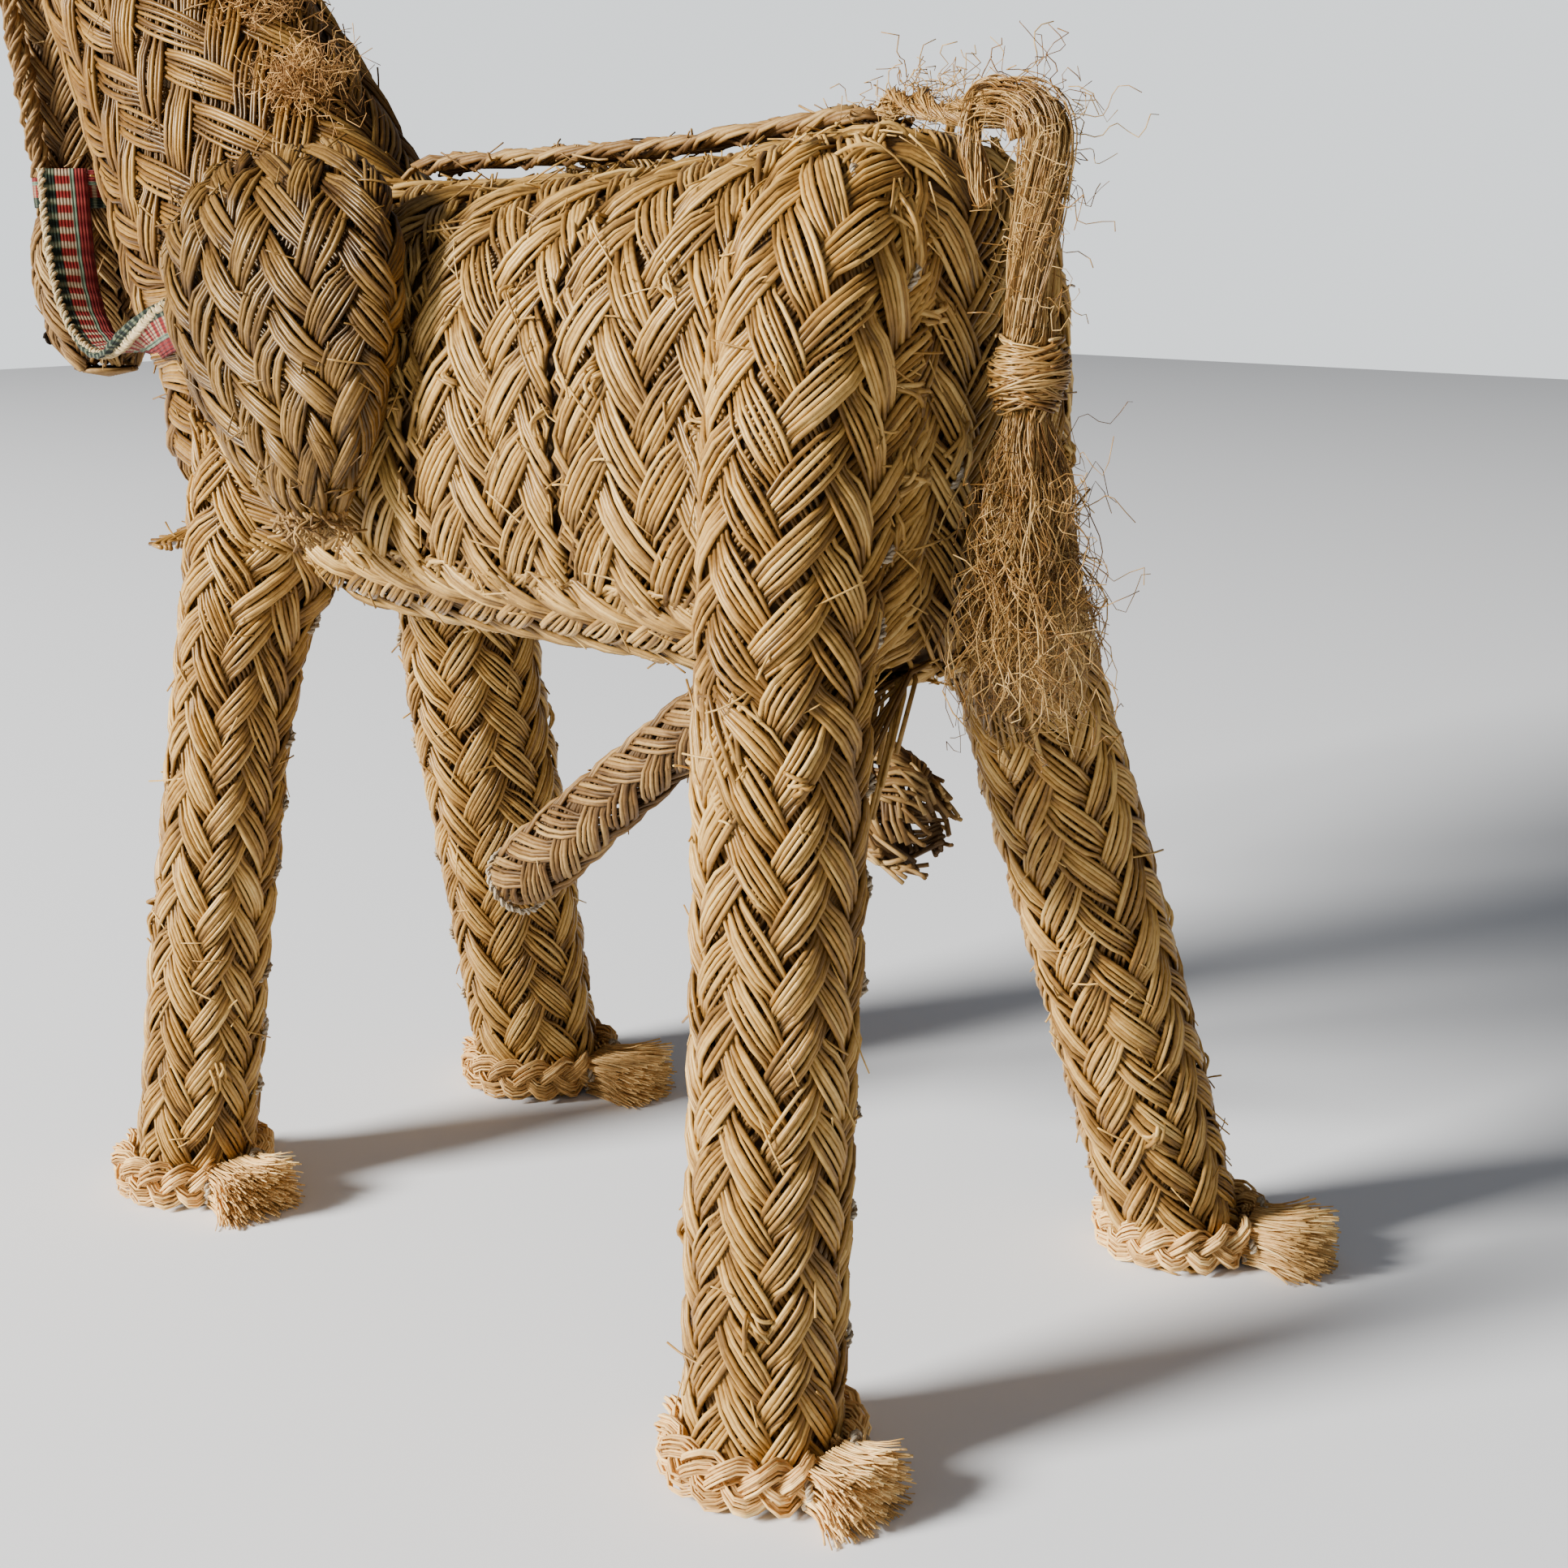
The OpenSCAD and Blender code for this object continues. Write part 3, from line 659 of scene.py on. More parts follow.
def make_head():
    lo, hi = BOX["head_plait"]
    mx = (lo.x + hi.x) / 2
    path = [Vector((mx, here(0, y, z).y, z * MM)) for y, z in ((-226, 206.5), (-227, 212),
            (-229, 225), (-229, 240), (-225, 258), (-226, 285), (-229, 313), (-233, 335),
            (-232, 355), (-226, 372), (-220, 383))]
    form = tube_form(skin_tree("head_plait"), path, Vector((0, 1, 0)), reach=0.05, turns=60)
    plaited("head_weave", form, 10, BROWN, "head_plait", "neck_plait", [strays(form, 60, 101)],
            seed=61)
    # the closed tip of the muzzle, coiled from the same stems
    t = np.linspace(0, 1, 90)
    turn = 2 * math.pi * 3.2 * t
    rim = form.g[0].mean(0)
    r = (1 - t) * float(np.linalg.norm(form.g[0] - rim, axis=1).mean()) * 1.1
    lines = []
    for k in range(3):
        a = turn + k * 2.1
        lines.append(np.stack([rim[0] + r * np.cos(a), rim[1] + r * 0.8 * np.sin(a),
                               rim[2] - 0.2 * MM - 1.6 * MM * t], 1))
    stems("muzzle_coil", lines, 0.8 * MM, mat=BROWN)
    # nostrils
    lines = []
    for s in (-1, 1):
        c = form.lay([0.5 + s * 0.17], [0.012], [0.3 * MM])[0]
        a = np.linspace(0, 2 * math.pi * 2.4, 26)
        rr = np.linspace(2.2, 0.3, 26) * MM
        lines.append(np.stack([c[0] + rr * np.cos(a) * 0.9, np.full(26, c[1]) + 0.5 * MM * s * 0,
                               c[2] + rr * np.sin(a)], 1))
    stems("nostrils", lines, 0.45 * MM, mat=WOOL)
    return form


make_head()


def make_ears():
    """Narrow plaited ears that lean a little outward."""
    for side in ("left", "right"):
        lo, hi = BOX[side + "_ear"]
        s = 1 if side == "left" else -1
        base = here(s * 12, -206.5, lo.z / MM + 1)
        tip = here(s * 21.6, -197, hi.z / MM - 1)
        path = [base, base.lerp(tip, 0.35) + ACROSS * s * 1.2 * MM, base.lerp(tip, 0.7), tip]
        form = tube_form(skin_tree(side + "_ear"), path, Vector((0, 1, 0)), reach=0.03,
                         spare=0.006, turns=36, fine=0.003)
        plaited(side + "_ear_weave", form, 6, NECK, side + "_ear", "neck_plait",
                [strays(form, 10, 111)], seed=71 + s, count=5, pitch=9 * MM, stem=0.45 * MM,
                lift=0.7 * MM, sink=0.9 * MM)


make_ears()


def make_pads():
    """The stuffed plaited pads at the shoulders, gathered and tied below."""
    for side in ("left", "right"):
        s = 1 if side == "left" else -1
        name = side + "_shoulder_pad"
        path = [here(s * x, y, z) for x, y, z in
                ((60, -34.2, 184), (60, -36, 189), (59.5, -40, 200), (59, -44, 215),
                 (58, -46, 232), (56, -47, 247), (52, -49, 258), (46, -51, 266))]
        form = tube_form(skin_tree(name), path, Vector((-s, 0.1, 0)), reach=0.07, spare=0.03,
                         turns=90, fine=0.003)
        # the inner face lies on the body
        extra = [strays(form, 120, 121 + s)]
        piece = plaited(side + "_pad_weave", form, 16, PAD, name, "pad_plait", extra, seed=81 + s,
                        pitch=14 * MM, lift=1.3 * MM)
        # its cut ends, tied at the bottom
        rng = np.random.default_rng(5 + s)
        foot = Vector(path[0])
        lines = []
        for _ in range(110):
            a, o = rng.uniform(0, 2 * math.pi), math.sqrt(rng.uniform(0, 1))
            root = foot + Vector((math.cos(a) * o * 4.5, math.sin(a) * o * 6, 5)) * MM
            way = (math.cos(a) * 0.4 + rng.normal(0, 0.3), math.sin(a) * 0.4 + rng.normal(0, 0.3), -1)
            lines.append(curly(root, way, rng.uniform(5, 11) * MM, rng, 1.6 * MM, 6))
        stems(side + "_pad_ends", lines, 0.34 * MM, mat=BROWN)
        ring = [foot + Vector((math.cos(a) * 6, math.sin(a) * 7.5, 3)) * MM
                for a in np.linspace(0, 2 * math.pi, 25)]
        stems(side + "_pad_tie", *twist_lines(ring, 2, 4, 1.1 * MM, 5 * MM, 0.35 * MM, 7), mat=BROWN)


make_pads()


def make_spine():
    lo, hi = BOX["spine_plait"]
    tree = skin_tree("spine_plait", *COVERS)
    rows = []
    for y in np.linspace(lo.y + 1 * MM, hi.y + 6 * MM, 60):
        row = []
        for x in np.linspace(SPINE_X - 7 * MM, SPINE_X + 7 * MM, 15):
            hit = tree.ray_cast(Vector((x, y, 0.3)), -UP)
            row.append(tuple(hit[0] + UP * 0.8 * MM))
        rows.append(row)
    form = Form(np.array(rows), soften=3)
    plaited("spine_weave", form, 2, BROWN, "spine_plait", "brown_plait", [strays(form, 40, 131)],
            seed=91, count=6, pitch=17 * MM, stem=0.55 * MM, sink=0.4 * MM)


make_spine()


# ---------------------------------------------------------------- the hooves
BRUSHES = {"left_hind": (13, 0), "right_hind": (19, 18), "left_front": (16, 0),
           "right_front": (20, 18)}


def make_hoof(name, seed):
    """A three-strand plait of fine fibre round the foot, its ends a cut brush behind."""
    reach, turn = BRUSHES[name]
    turn = math.radians(turn)
    rng = np.random.default_rng(seed)
    foot = FEET[name]
    leg = LEG_FORMS[name]
    base = leg.g[1]
    r0 = float(np.linalg.norm((base - np.array(foot))[:, :2], axis=1).mean())
    lines, radii = [], []
    cycles = 5
    n = 56
    gap = math.radians(14)
    t = np.linspace(0, 1, n)
    round_it = math.pi / 2 + turn + gap + (2 * math.pi - 2 * gap) * t
    for strand in range(3):
        phase = 2 * math.pi * (cycles * t + strand / 3)
        for _ in range(26):
            a, o = rng.uniform(0, 2 * math.pi), math.sqrt(rng.uniform(0, 1))
            own = a + 2 * math.pi * 1.2 * t
            z = 6.7 + 3.7 * np.sin(phase) + o * 2.7 * np.sin(own)
            r = r0 / MM + 2.7 + 1.7 * np.sin(2 * phase) + o * 1.9 * np.cos(own)
            z = np.clip(z, 0.4, 13)
            lines.append(np.stack([foot.x + r * MM * np.cos(round_it),
                                   foot.y + r * MM * np.sin(round_it), z * MM], 1))
            radii.append(rng.uniform(0.22, 0.36) * MM)
    stems(name + "_hoof_plait", lines, radii, mat=HOOF, node=name + "_hoof", part="hoof_plait")
    lines, radii = [], []
    out = Vector((-math.sin(turn), math.cos(turn), 0))
    over = Vector((math.cos(turn), math.sin(turn), 0))
    for _ in range(760):
        x, z = rng.uniform(-8.2, 8.2), rng.uniform(0.8, 11.5)
        long = reach * rng.uniform(0.62, 1.1) * (1 - 0.2 * (x / 9) ** 2) + 1
        q = np.linspace(0, 1, 5)
        fan = 1 + 0.42 * q ** 2
        y = r0 / MM + 2.0 + long * q
        px = x * fan + rng.normal(0, 1.1) * q ** 2
        pz = 6.2 + (z - 6.2) * (1 + 0.3 * q ** 2) + rng.normal(0, 0.9) * q ** 2 - 0.4 * q
        pz = np.clip(pz, 0.3, 15.5)
        lines.append(np.array([tuple(foot + over * (a * MM) + out * (b * MM) + UP * (c * MM))
                               for a, b, c in zip(px, y, pz)]))
        radii.append(rng.uniform(0.14, 0.27) * MM)
    stems(name + "_hoof_brush", lines, radii, sides=0, mat=HOOF)
    # the ends are bound with whitish yarn before they splay
    loops = []
    for cx, sx, sz, cz in ((-7.2, 2.6, 3.4, 8.2), (6.8, 2.3, 3.0, 5.4)):
        loops.append([foot + over * ((cx + sx * math.cos(q)) * MM)
                      + out * (r0 + (3.6 + 1.2 * math.sin(2 * q + 1)) * MM)
                      + UP * ((cz + sz * math.sin(q)) * MM) for q in np.linspace(0, 5.4, 22)])
    lines, radii = [], []
    for k, loop in enumerate(loops):
        l, r = twist_lines(loop, 2, 5, 1.0 * MM, 4 * MM, 0.28 * MM, seed + k, up=AFT)
        lines += l
        radii += r
    stems(name + "_hoof_yarn", lines, radii, mat=THREAD)


for k, n in enumerate(LEGS):
    make_hoof(n, 200 + k)


# ---------------------------------------------------------------- under the belly
def make_under():
    """The two plaited pieces below the belly."""
    path = [here(0, 50, 155), here(0, 40, 147), here(0, 20, 132), here(0, 0, 116.5),
            here(0, -20, 100.5), here(0, -36, 88), here(0, -40, 84.8)]
    form = tube_form(skin_tree("sheath_plait"), path, Vector((-1, 0, 0)), reach=0.03, spare=0.0064,
                     turns=36, fine=0.003)
    plaited("sheath_weave", form, 5, BROWN, "sheath_plait", "body_plait",
            [strays(form, 26, 141)], seed=95, count=6, pitch=14 * MM, stem=0.58 * MM, lift=0.9 * MM,
            sink=0.5 * MM)
    rng = np.random.default_rng(17)
    tip, way = path[-1], (path[-1] - path[-3]).normalized()
    a1 = way.cross(ACROSS).normalized()
    lines = []
    for _ in range(70):
        a, o = rng.uniform(0, 2 * math.pi), math.sqrt(rng.uniform(0, 1)) * 7.4 * MM
        t = np.linspace(0, 1, 6)
        bend = rng.uniform(1.5, 5) * MM
        core = np.array(tip)[None] + np.array(way)[None] * ((-6 + 8 * t[:, None]) * MM)
        side = (np.array(ACROSS) * math.cos(a) + np.array(a1) * math.sin(a)) * o
        lines.append(core + side[None] * (1 - 0.45 * t[:, None] ** 2)
                     + np.array(way)[None] * bend * (t[:, None] ** 3) * rng.uniform(-0.4, 0.5))
    stems("sheath_tip", lines, 0.6 * MM, mat=BROWN)
    ring = [tip + (ACROSS * math.cos(q) + a1 * math.sin(q)) * 8.6 * MM - way * (2 + math.sin(q)) * MM
            for q in np.linspace(0, 2 * math.pi, 25)]
    stems("sheath_tie", *twist_lines(ring, 2, 3, 0.8 * MM, 4 * MM, 0.28 * MM, 9), mat=THREAD)

    path = [here(0, 56, 150), here(0, 62, 145.5), here(0, 72, 136), here(0, 83, 129),
            here(0, 91, 126), here(0, 98, 124.6)]
    form = tube_form(skin_tree("pouch_plait"), path, Vector((-1, 0, 0)), reach=0.04, spare=0.005,
                     turns=40, fine=0.003)
    extra = ([], [])
    for _ in range(36):
        u = rng.uniform(0, 1)
        v0 = form.length * rng.uniform(0.55, 0.95)
        t = np.linspace(0, 1, 5)
        over = rng.uniform(0, 3) * MM
        pts = form.lay(np.full(5, u) + rng.normal(0, 0.02) * t, np.full(5, v0) + 8 * MM * t,
                       -1.0 * MM + 1.0 * MM * t)
        pts = pts + np.array([0, 1, -0.25])[None] * over * (t[:, None] ** 2) \
            + np.array([rng.normal(0, 0.8), 0, rng.normal(0, 0.8)])[None] * MM * t[:, None] ** 2
        extra[0].append(pts)
        extra[1].append(0.5 * MM)
    plaited("pouch_weave", form, 6, BROWN, "pouch_plait", "body_plait", [extra], seed=97,
            count=6, stem=0.58 * MM, lift=1.0 * MM)


make_under()


# ---------------------------------------------------------------- bridle
def ribbon(name, middle, sides, wide, thick, along_cells, node, mat):
    """A woven tape along a line of points; sides gives the direction of its width."""
    middle, sides = np.array(middle, float), np.array(sides, float)
    d = np.concatenate([[0], np.cumsum(np.linalg.norm(np.diff(middle, axis=0), axis=1))])
    bm = bmesh.new()
    uv = bm.loops.layers.uv.new("UVMap")
    bmesh.ops.create_grid(bm, x_segments=8, y_segments=along_cells, size=0.5, calc_uvs=True)
    for v in bm.verts:
        a, t = v.co.x, (v.co.y + 0.5) * d[-1]
        p = Vector([np.interp(t, d, middle[:, k]) for k in range(3)])
        s = Vector([np.interp(t, d, sides[:, k]) for k in range(3)]).normalized()
        p2 = Vector([np.interp(min(t + 1 * MM, d[-1]), d, middle[:, k]) for k in range(3)])
        p1 = Vector([np.interp(max(t - 1 * MM, 0), d, middle[:, k]) for k in range(3)])
        way = (p2 - p1).normalized()
        s = (s - way * s.dot(way)).normalized()
        n = way.cross(s)
        v.co = p + s * a * wide + n * (0.25 * MM * math.sin(t / MM * 0.7) - 0.8 * MM * a * a)
    me = bpy.data.meshes.new(name)
    bm.to_mesh(me)
    bm.free()
    ob = bpy.data.objects.new(name, me)
    bpy.context.scene.collection.objects.link(ob)
    sol = ob.modifiers.new("thickness", "SOLIDIFY")
    sol.thickness = thick
    sol.offset = 0
    me.materials.append(mat)
    for p in me.polygons:
        p.use_smooth = True
    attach(ob, "animal")
    if node:
        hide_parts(node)
    return ob


REIN = [(11, -213, 264), (11.6, -212, 250), (13.7, -208, 235.5), (16.1, -201, 224), (18.5, -191, 217),
        (22.7, -176, 214.6), (28, -159, 216), (34.2, -141, 219.2), (40.2, -124, 222.8), (46, -108, 225.5),
        (47.5, -96, 227), (48.5, -82, 228)]
REIN_SIDE = [(-.8, .6, 0), (-.8, .6, 0), (-.85, .5, .1), (-.9, 0, .2), (-.75, -.6, .2),
             (-.6, -.6, 0), (-.5, -.5, -.6), (-.3, -.3, -.9), (-.1, -.2, -1), (0, -.1, -1),
             (0, 0, -1), (0, 0, -1)]


def curve_through(points, n, soft=6):
    """A smooth line through the points."""
    p = np.array(points, float)
    d = np.concatenate([[0], np.cumsum(np.linalg.norm(np.diff(p, axis=0), axis=1))])
    t = np.linspace(0, d[-1], n)
    q = np.stack([np.interp(t, d, p[:, k]) for k in range(p.shape[1])], 1)
    for _ in range(soft):
        q[1:-1] = 0.5 * q[1:-1] + 0.25 * (q[:-2] + q[2:])
    return q


def make_bridle():
    """Woven reins edged with cord, a noseband and twisted cheek ropes."""
    mat = striped("striped_wool", 0.16, 0.0125)
    for s in (1, -1):
        pts, dirs = [], []
        for i, (p, w) in enumerate(zip(REIN, REIN_SIDE)):
            k = max(0, 1 - i / (len(REIN) - 3))
            x = p[0] if s > 0 else -p[0] - 10 * k
            pts.append(tuple(here(x, p[1], p[2])))
            dirs.append((s * w[0], w[1], w[2]))
        mid, side = curve_through(pts, 70, 24), curve_through(dirs, 70, 60)
        name = "left" if s > 0 else "right"
        ribbon(name + "_rein_tape", mid, side, 12.5 * MM, 1.2 * MM, 90, name + "_rein", mat)
        side /= np.linalg.norm(side, axis=1, keepdims=True)
        stems(name + "_rein_cord",
              *twist_lines(mid - side * 6.4 * MM, 2, 5, 1.2 * MM, 5.5 * MM, 0.34 * MM, 10), mat=CREAM)
    lo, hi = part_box("noseband")
    c, n = (lo + hi) / 2, 90
    rows, dirs = [], []
    tree = skin_tree("noseband")
    for q in range(n + 1):
        a = 2 * math.pi * q / n
        d = ACROSS * math.cos(a) + AFT * math.sin(a)
        hit = tree.ray_cast(c + d * 0.05, -d, 0.05)
        rows.append(tuple(hit[0] if hit[0] is not None else c + d * 0.016))
        dirs.append((0, 0, 1))
    ribbon("noseband_tape", rows, dirs, 10.5 * MM, 1.2 * MM, 110, "noseband", mat)
    for s, name in ((1, "left"), (-1, "right")):
        path = [((13.8), -221, 262), (15.6, -221, 280), (16.6, -223, 297), (17.6, -226, 314),
                (18.4, -230, 332), (17, -232, 348), (13, -231, 362)]
        pts = [tuple(here(x if s > 0 else -x - 10, y, z)) for x, y, z in path]
        stems(name + "_cheek_twist",
              *twist_lines(curve_through(pts, 40), 3, 9, 3.3 * MM, 22 * MM, 0.55 * MM, 23 + s, up=AFT),
              mat=BROWN, node=name + "_cheek_rope", part="brown_plait")


make_bridle()


def make_eyes():
    """Wound knots of dark wool."""
    for name in ("left_eye", "right_eye"):
        lo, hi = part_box(name)
        c, r = (lo + hi) / 2, 2.3 * MM
        rng = np.random.default_rng(3)
        lines = []
        for _ in range(26):
            axis = Vector(rng.normal(0, 1, 3)).normalized()
            e1 = axis.orthogonal().normalized()
            e2 = axis.cross(e1)
            a = np.linspace(0, 2 * math.pi, 17)
            lines.append(np.array([tuple(c + (e1 * math.cos(q) + e2 * math.sin(q)) * r) for q in a]))
        stems(name + "_knot", lines, 0.4 * MM, mat=WOOL, node=name, part="dark_wool")


make_eyes()


# ---------------------------------------------------------------- mane and tail
def make_mane():
    """Tufts of wavy coir hair down the back of the neck."""
    rng = np.random.default_rng(77)
    lines = []
    for x, y, z, r in ((9, -100, 281, 9), (7, -118, 303, 9), (1, -141, 329, 9), (0, -165, 354, 9),
                       (-2, -187, 376, 10)):
        c = here(x, y + 1, z + 1)
        for _ in range(280):
            root = c + Vector(rng.normal(0, 1, 3)) * r * 0.5 * MM - Vector((0, 1, 1)) * MM
            way = Vector((0.3 + rng.normal(0, 0.9), 0.5 + rng.normal(0, 0.7), 0.3 + rng.normal(0, 0.7)))
            lines.append(curly(root, way, rng.uniform(7, 15) * MM, rng, 2.6 * MM, 7))
    stems("mane_tufts", lines, 0.13 * MM, sides=0, mat=COIR, node="mane", part="coir")


make_mane()


def make_tail():
    """Loose fibre: twisted root, a fall over the arch, a bound knot and a tangled tassel."""
    rng = np.random.default_rng(55)
    # two twisted strands from the rump up to the top of the arch
    root = [(0, 78, 270.5), (0.6, 84, 273.2), (3, 90, 273.8), (6, 96, 272.4), (8, 101, 271),
            (8, 105.5, 270.4), (8, 109.5, 270.7), (8, 113, 271.2), (8, 118, 270.6)]
    path = curve_through([tuple(here(*p)) for p in root], 44)
    lines, radii = twist_lines(path, 2, 60, 3.3 * MM, 26 * MM, 0.15 * MM, 1)
    for _ in range(70):
        p = here(*root[rng.integers(0, 5)])
        lines.append(curly(p + Vector(rng.normal(0, 1.6, 3)) * MM, rng.normal(0, 1, 3) + (0, 0.4, 0.5),
                           rng.uniform(5, 12) * MM, rng, 1.8 * MM, 8))
        radii.append(0.12 * MM)
    up = stems("tail_root_strands", lines, radii, sides=0, mat=GOLD, body=None, node="tail_root",
               part="golden_fibre")
    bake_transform(up)
    # the fibres fall over the arch and hang down to the knot
    fall = [(8, 110.5, 270.2), (8, 114, 271.4), (8, 118.5, 272), (8, 123, 271.2), (8, 126, 269.4),
            (8, 127.4, 266.2), (8, 127, 262), (8, 126.4, 256), (8, 125, 248), (8, 124, 238),
            (8, 124, 227.5)]
    wide = [2.0, 3.2, 4.0, 4.4, 4.7, 4.9, 5.0, 4.8, 4.4, 4.0, 4.2]
    lines, radii = bundle([here(*p) for p in fall], wide, 250, 0.15 * MM, rng, 2.4, 36)
    for _ in range(170):
        k = rng.integers(1, 10)
        p = here(*fall[k]) + Vector(rng.normal(0, 2.4, 3)) * MM
        lines.append(curly(p, rng.normal(0, 1, 3) + np.array([0, 0, -1.1 if k > 4 else 0]),
                           rng.uniform(6, 16) * MM, rng, 2.4 * MM, 11))
        radii.append(rng.uniform(0.08, 0.13) * MM)
    down = stems("tail_hank_fibres", lines, radii, sides=0, mat=GOLD, body=None,
                 node=("tail_loop", "tail_hank"), part="golden_fibre")
    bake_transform(down)
    # a strand hitched over the arch, one end crossing it and the other hanging free
    lines, radii = bundle([here(*p) for p in ((8, 109, 268.5), (9.5, 110.5, 272.5), (10, 113, 275),
                           (9, 116, 275.6), (8.5, 119.5, 273), (11.5, 122, 268.5), (11, 123, 265.5))],
                          [1.6, 1.7, 1.8, 2.0, 1.9, 1.7, 1.5], 70, 0.15 * MM, rng, 1.6, 26)
    more = bundle([here(*p) for p in ((9.5, 110.5, 272.5), (11, 111, 268.5), (11.5, 112.5, 262.5),
                   (11, 114.2, 256.5), (10.5, 115.5, 253.5))], [1.6, 1.9, 2.2, 2.1, 1.8], 60,
                  0.15 * MM, rng, 1.8, 20)
    stems("tail_hitch", lines + more[0], radii + more[1], sides=0, mat=GOLD, body="tail_arch")
    # the wrapping
    lines, radii = [], []
    for k in range(150):
        z0, r0 = rng.uniform(216.8, 228), rng.uniform(6.0, 8.1)
        r0 *= math.sqrt(max(0.2, 1 - ((z0 - 222.4) / 7.6) ** 2))
        a0, tip = rng.uniform(0, 6.28), rng.normal(0, 0.16)
        a = np.linspace(0, rng.uniform(2.2, 5.5), 14)
        x = 8 + r0 * np.cos(a + a0)
        y = 124.3 + r0 * np.sin(a + a0)
        z = z0 + tip * r0 * np.cos(a + a0 + 1) * 1.5 + 0.6 * np.sin(a * 2 + k)
        lines.append(np.array([tuple(here(*p)) for p in zip(x, y, z)]))
        radii.append(rng.uniform(0.16, 0.34) * MM)
    inner, more = bundle([here(8, 124, 231), here(8, 124.2, 222), here(8, 124.4, 213.5)],
                         [4.6, 5.2, 4.6], 120, 0.2 * MM, rng, 0.5, 8)
    stems("tail_knot_wrap", lines + inner, radii + more, sides=0, mat=GOLD, body="tail",
          node="tail_knot", part="golden_fibre")
    # the tangled end
    lines, radii = [], []
    for _ in range(470):
        a, o = rng.uniform(0, 6.28), math.sqrt(rng.uniform(0, 1))
        start = here(8 + 4.4 * o * math.cos(a), 124.4 + 4.2 * o * math.sin(a), 216)
        way = Vector((math.cos(a) * o * 0.24 + rng.normal(0, 0.05),
                      math.sin(a) * o * 0.17 + rng.normal(0, 0.04), -1))
        long = (rng.uniform(0.3, 1.0) ** 0.6) * 62 * MM
        lines.append(curly(start, way, long, rng, rng.uniform(1.4, 5.4) * MM, 19))
        radii.append(rng.uniform(0.09, 0.15) * MM)
    for _ in range(330):
        # short crimped hairs that fill it out
        a, z = rng.uniform(0, 6.28), rng.uniform(160, 205)
        o = math.sqrt(rng.uniform(0, 1)) * (5 + (205 - z) * 0.14)
        start = here(8 + o * math.cos(a), 124.6 + 0.75 * o * math.sin(a), z)
        lines.append(curly(start, Vector(rng.normal(0, 1, 3)) + Vector((0, 0, -0.8)),
                           rng.uniform(8, 22) * MM, rng, 3.6 * MM, 13))
        radii.append(rng.uniform(0.08, 0.13) * MM)
    # its front stays clear of the hind legs as it swings
    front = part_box("tail_tassel")[0].y + 2.5 * MM
    for line in lines:
        line[:, 1] = np.where(line[:, 1] < front, front + 0.25 * (front - line[:, 1]), line[:, 1])
    stems("tail_tassel_fibres", lines, radii, sides=0, mat=GOLD, body="tail", node="tail_tassel",
          part="golden_fibre")


def bundle(path, wide, many, fibre, rng, wave, n):
    """Loose parallel fibres along a path, packed to the widths given."""
    path = np.array([tuple(p) for p in path])
    d = np.concatenate([[0], np.cumsum(np.linalg.norm(np.diff(path, axis=0), axis=1))])
    t = np.linspace(0, d[-1], n)
    mid = np.stack([np.interp(t, d, path[:, k]) for k in range(3)], 1)
    for _ in range(2):
        mid[1:-1] = 0.5 * mid[1:-1] + 0.25 * (mid[:-2] + mid[2:])
    w = np.interp(t, d, np.array(wide)) * MM
    way = np.gradient(mid, axis=0)
    way /= np.linalg.norm(way, axis=1, keepdims=True)
    a = np.cross(way, np.array((1.0, 0.02, 0)))
    a /= np.linalg.norm(a, axis=1, keepdims=True)
    b = np.cross(way, a)
    lines, radii = [], []
    s = np.linspace(0, 1, n)
    for _ in range(many):
        q, o = rng.uniform(0, 6.28), math.sqrt(rng.uniform(0, 1))
        turn = q + rng.uniform(0.5, 1.6) * s * 2
        wob = wave * MM * np.sin(s * rng.uniform(4, 12) + rng.uniform(0, 6)) * 0.4
        r = w * o + wob * o
        lines.append(mid + a * (r * np.cos(turn))[:, None] + b * (r * np.sin(turn))[:, None])
        radii.append(fibre * rng.uniform(0.7, 1.3))
    return lines, radii


make_tail()


# ---------------------------------------------------------------- sewing
def stitch(form, u, v, long, slant, seed, fat=0.3 * MM, lift=0.9 * MM):
    """One short stitch of twisted thread across a seam."""
    t = np.linspace(0, 1, 8)
    girth = float(np.interp(v, form.rise, form.girth))
    uu = u + (t - 0.5) * long * math.cos(slant) / girth
    vv = v + (t - 0.5) * long * math.sin(slant)
    mid = form.lay(uu, vv, lift * np.sin(math.pi * t) ** 0.5 - 0.8 * MM * (1 - np.sin(math.pi * t)))
    return twist_lines(mid, 2, 3, 0.75 * MM, 4 * MM, fat, seed)


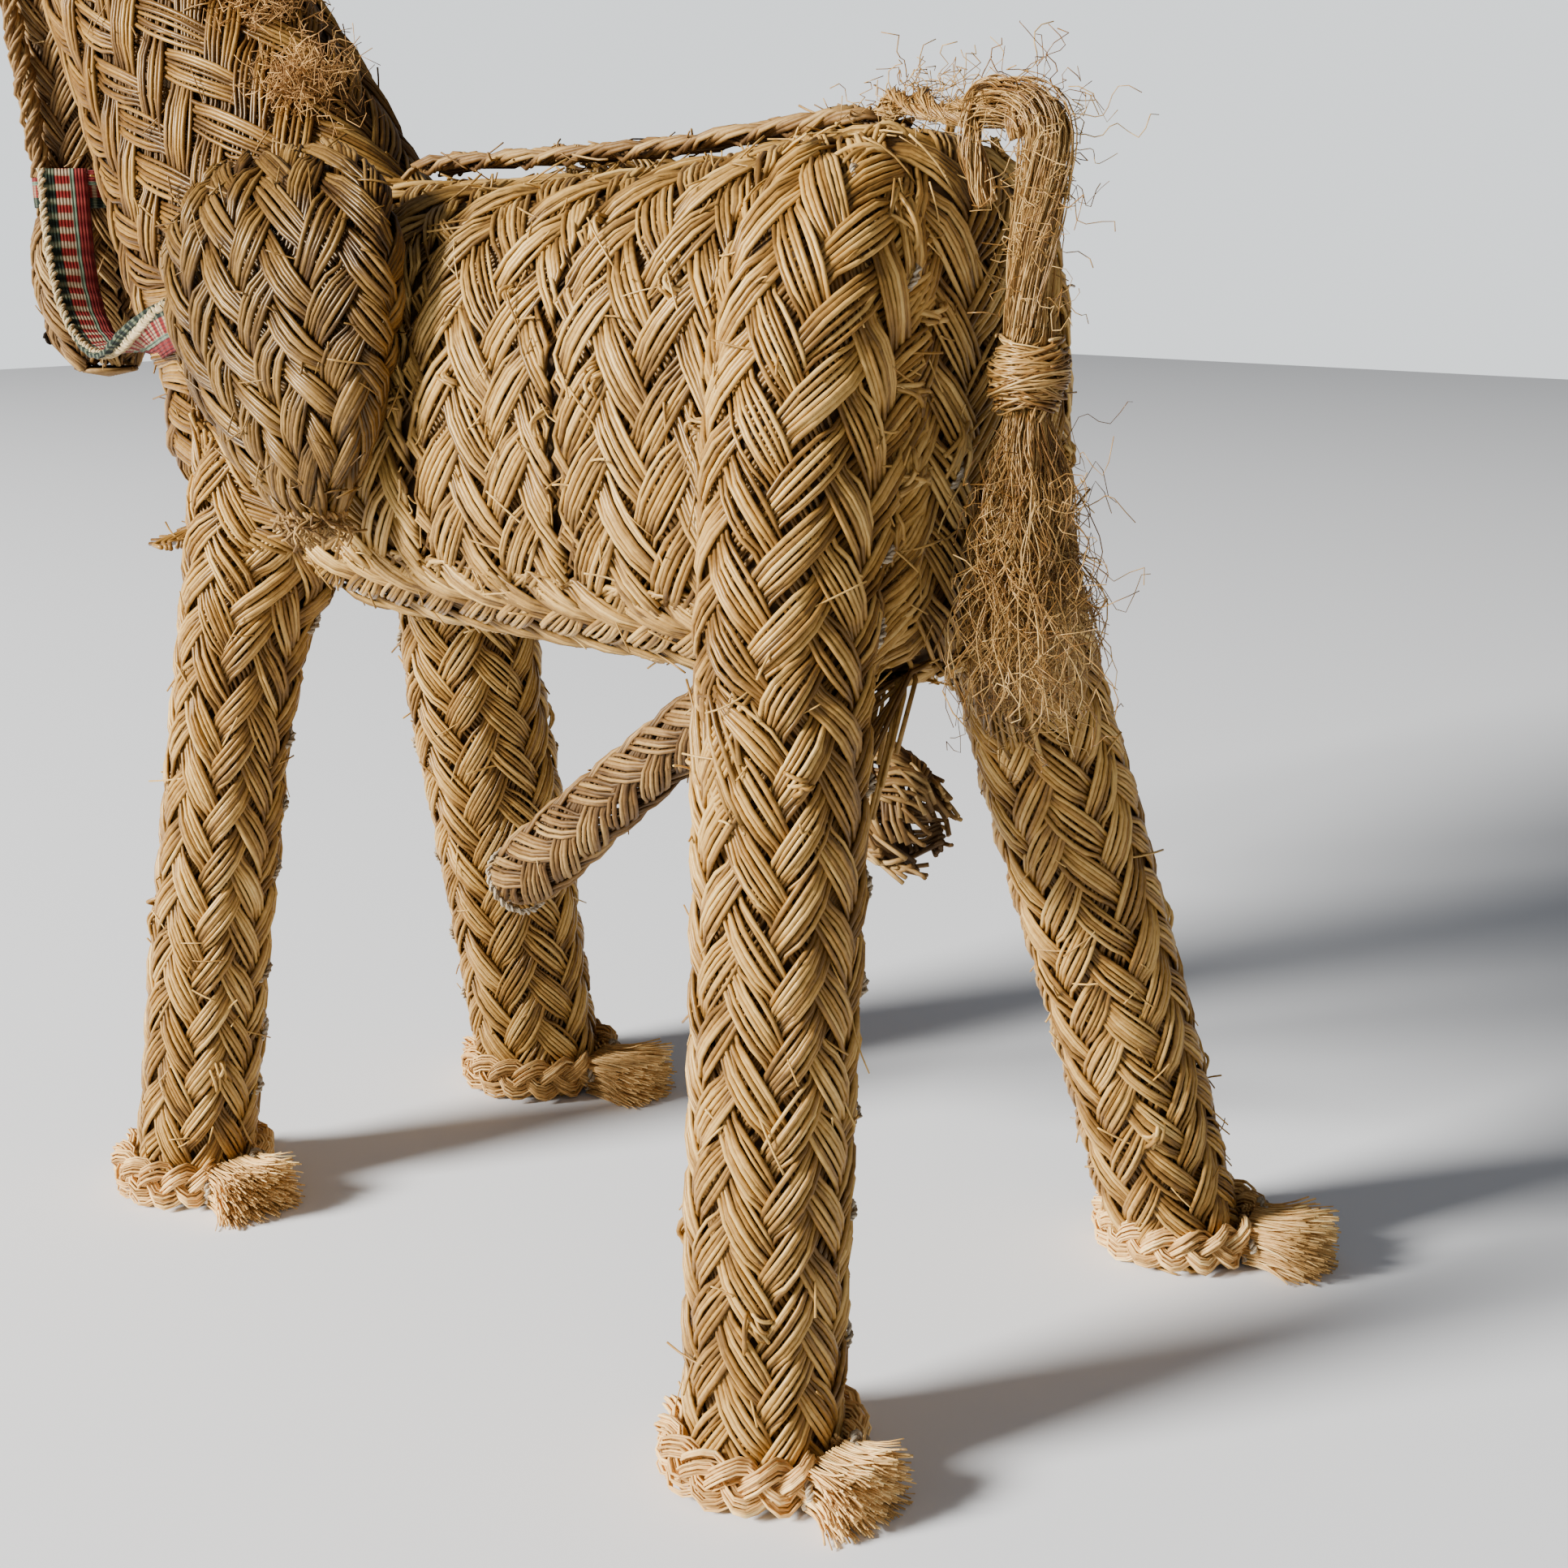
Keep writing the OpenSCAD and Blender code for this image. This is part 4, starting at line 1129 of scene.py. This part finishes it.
def make_sewing():
    """Stitches of twisted thread along the seams of the legs and rump."""
    lines, radii = [], []
    rng = np.random.default_rng(88)
    for form in LEG_FORMS.values():
        v = 0.03
        while v < form.length - 0.05:
            l, r = stitch(form, 0.01 if rng.uniform() < 0.5 else 0.99, v, rng.uniform(5, 9) * MM,
                          rng.uniform(0.6, 1.3), int(v * 1e5))
            lines += l
            radii += r
            v += rng.uniform(0.014, 0.034)
    for u, v, s in ((0.13, 0.66, 0.4), (0.17, 0.6, 1.2), (0.3, 0.5, 0.7), (0.62, 0.7, 1.0),
                    (0.86, 0.64, 0.5), (0.8, 0.45, 1.1), (0.88, 0.3, 0.8)):
        l, r = stitch(RUMP, u, v * RUMP.length, 6 * MM, s, int(u * 1000), 0.24 * MM)
        lines += l
        radii += r
    stems("sewing_thread", lines, radii, mat=THREAD, node="seam_threads", part="white_thread")


make_sewing()


# ---------------------------------------------------------------- the room
def room():
    """A plain pale floor, a soft window light and a little light from the room."""
    bpy.ops.mesh.primitive_plane_add(size=6, location=(0, 0, -0.0002))
    floor = bpy.context.object
    floor.name = "floor"
    mat, _, b = shader("pale_cloth")
    b.inputs["Base Color"].default_value = (0.8, 0.81, 0.83, 1)
    b.inputs["Roughness"].default_value = 0.9
    floor.data.materials.append(mat)
    world = bpy.data.worlds.new("world")
    world.use_nodes = True
    wt = world.node_tree
    fill, wall = wt.nodes["Background"], wt.nodes.new("ShaderNodeBackground")
    fill.inputs[0].default_value, fill.inputs[1].default_value = (0.86, 0.91, 1.0, 1), 0.17
    wall.inputs[0].default_value, wall.inputs[1].default_value = (0.86, 0.9, 0.92, 1), 1.5
    seen, pick = wt.nodes.new("ShaderNodeLightPath"), wt.nodes.new("ShaderNodeMixShader")
    wt.links.new(seen.outputs["Is Camera Ray"], pick.inputs[0])
    wt.links.new(fill.outputs[0], pick.inputs[1])
    wt.links.new(wall.outputs[0], pick.inputs[2])
    wt.links.new(pick.outputs[0], wt.nodes["World Output"].inputs[0])
    bpy.context.scene.world = world
    for name, place, aim, power, size, tint in (
            ("window", (3.9, -1.5, 2.0), (0, 0, 0.12), 800, 1.3, (1, 0.985, 0.95)),
            ("room_side", (2.2, 3.0, 2.4), (0, 0, 0.17), 12, 2.4, (0.95, 0.97, 1))):
        light = bpy.data.lights.new(name, "AREA")
        light.energy, light.size, light.shape, light.color = power, size, "DISK", tint
        ob = bpy.data.objects.new(name, light)
        ob.location = Vector(place)
        ob.rotation_mode = "QUATERNION"
        ob.rotation_quaternion = (Vector(aim) - ob.location).to_track_quat("-Z", "Y")
        bpy.context.scene.collection.objects.link(ob)


room()
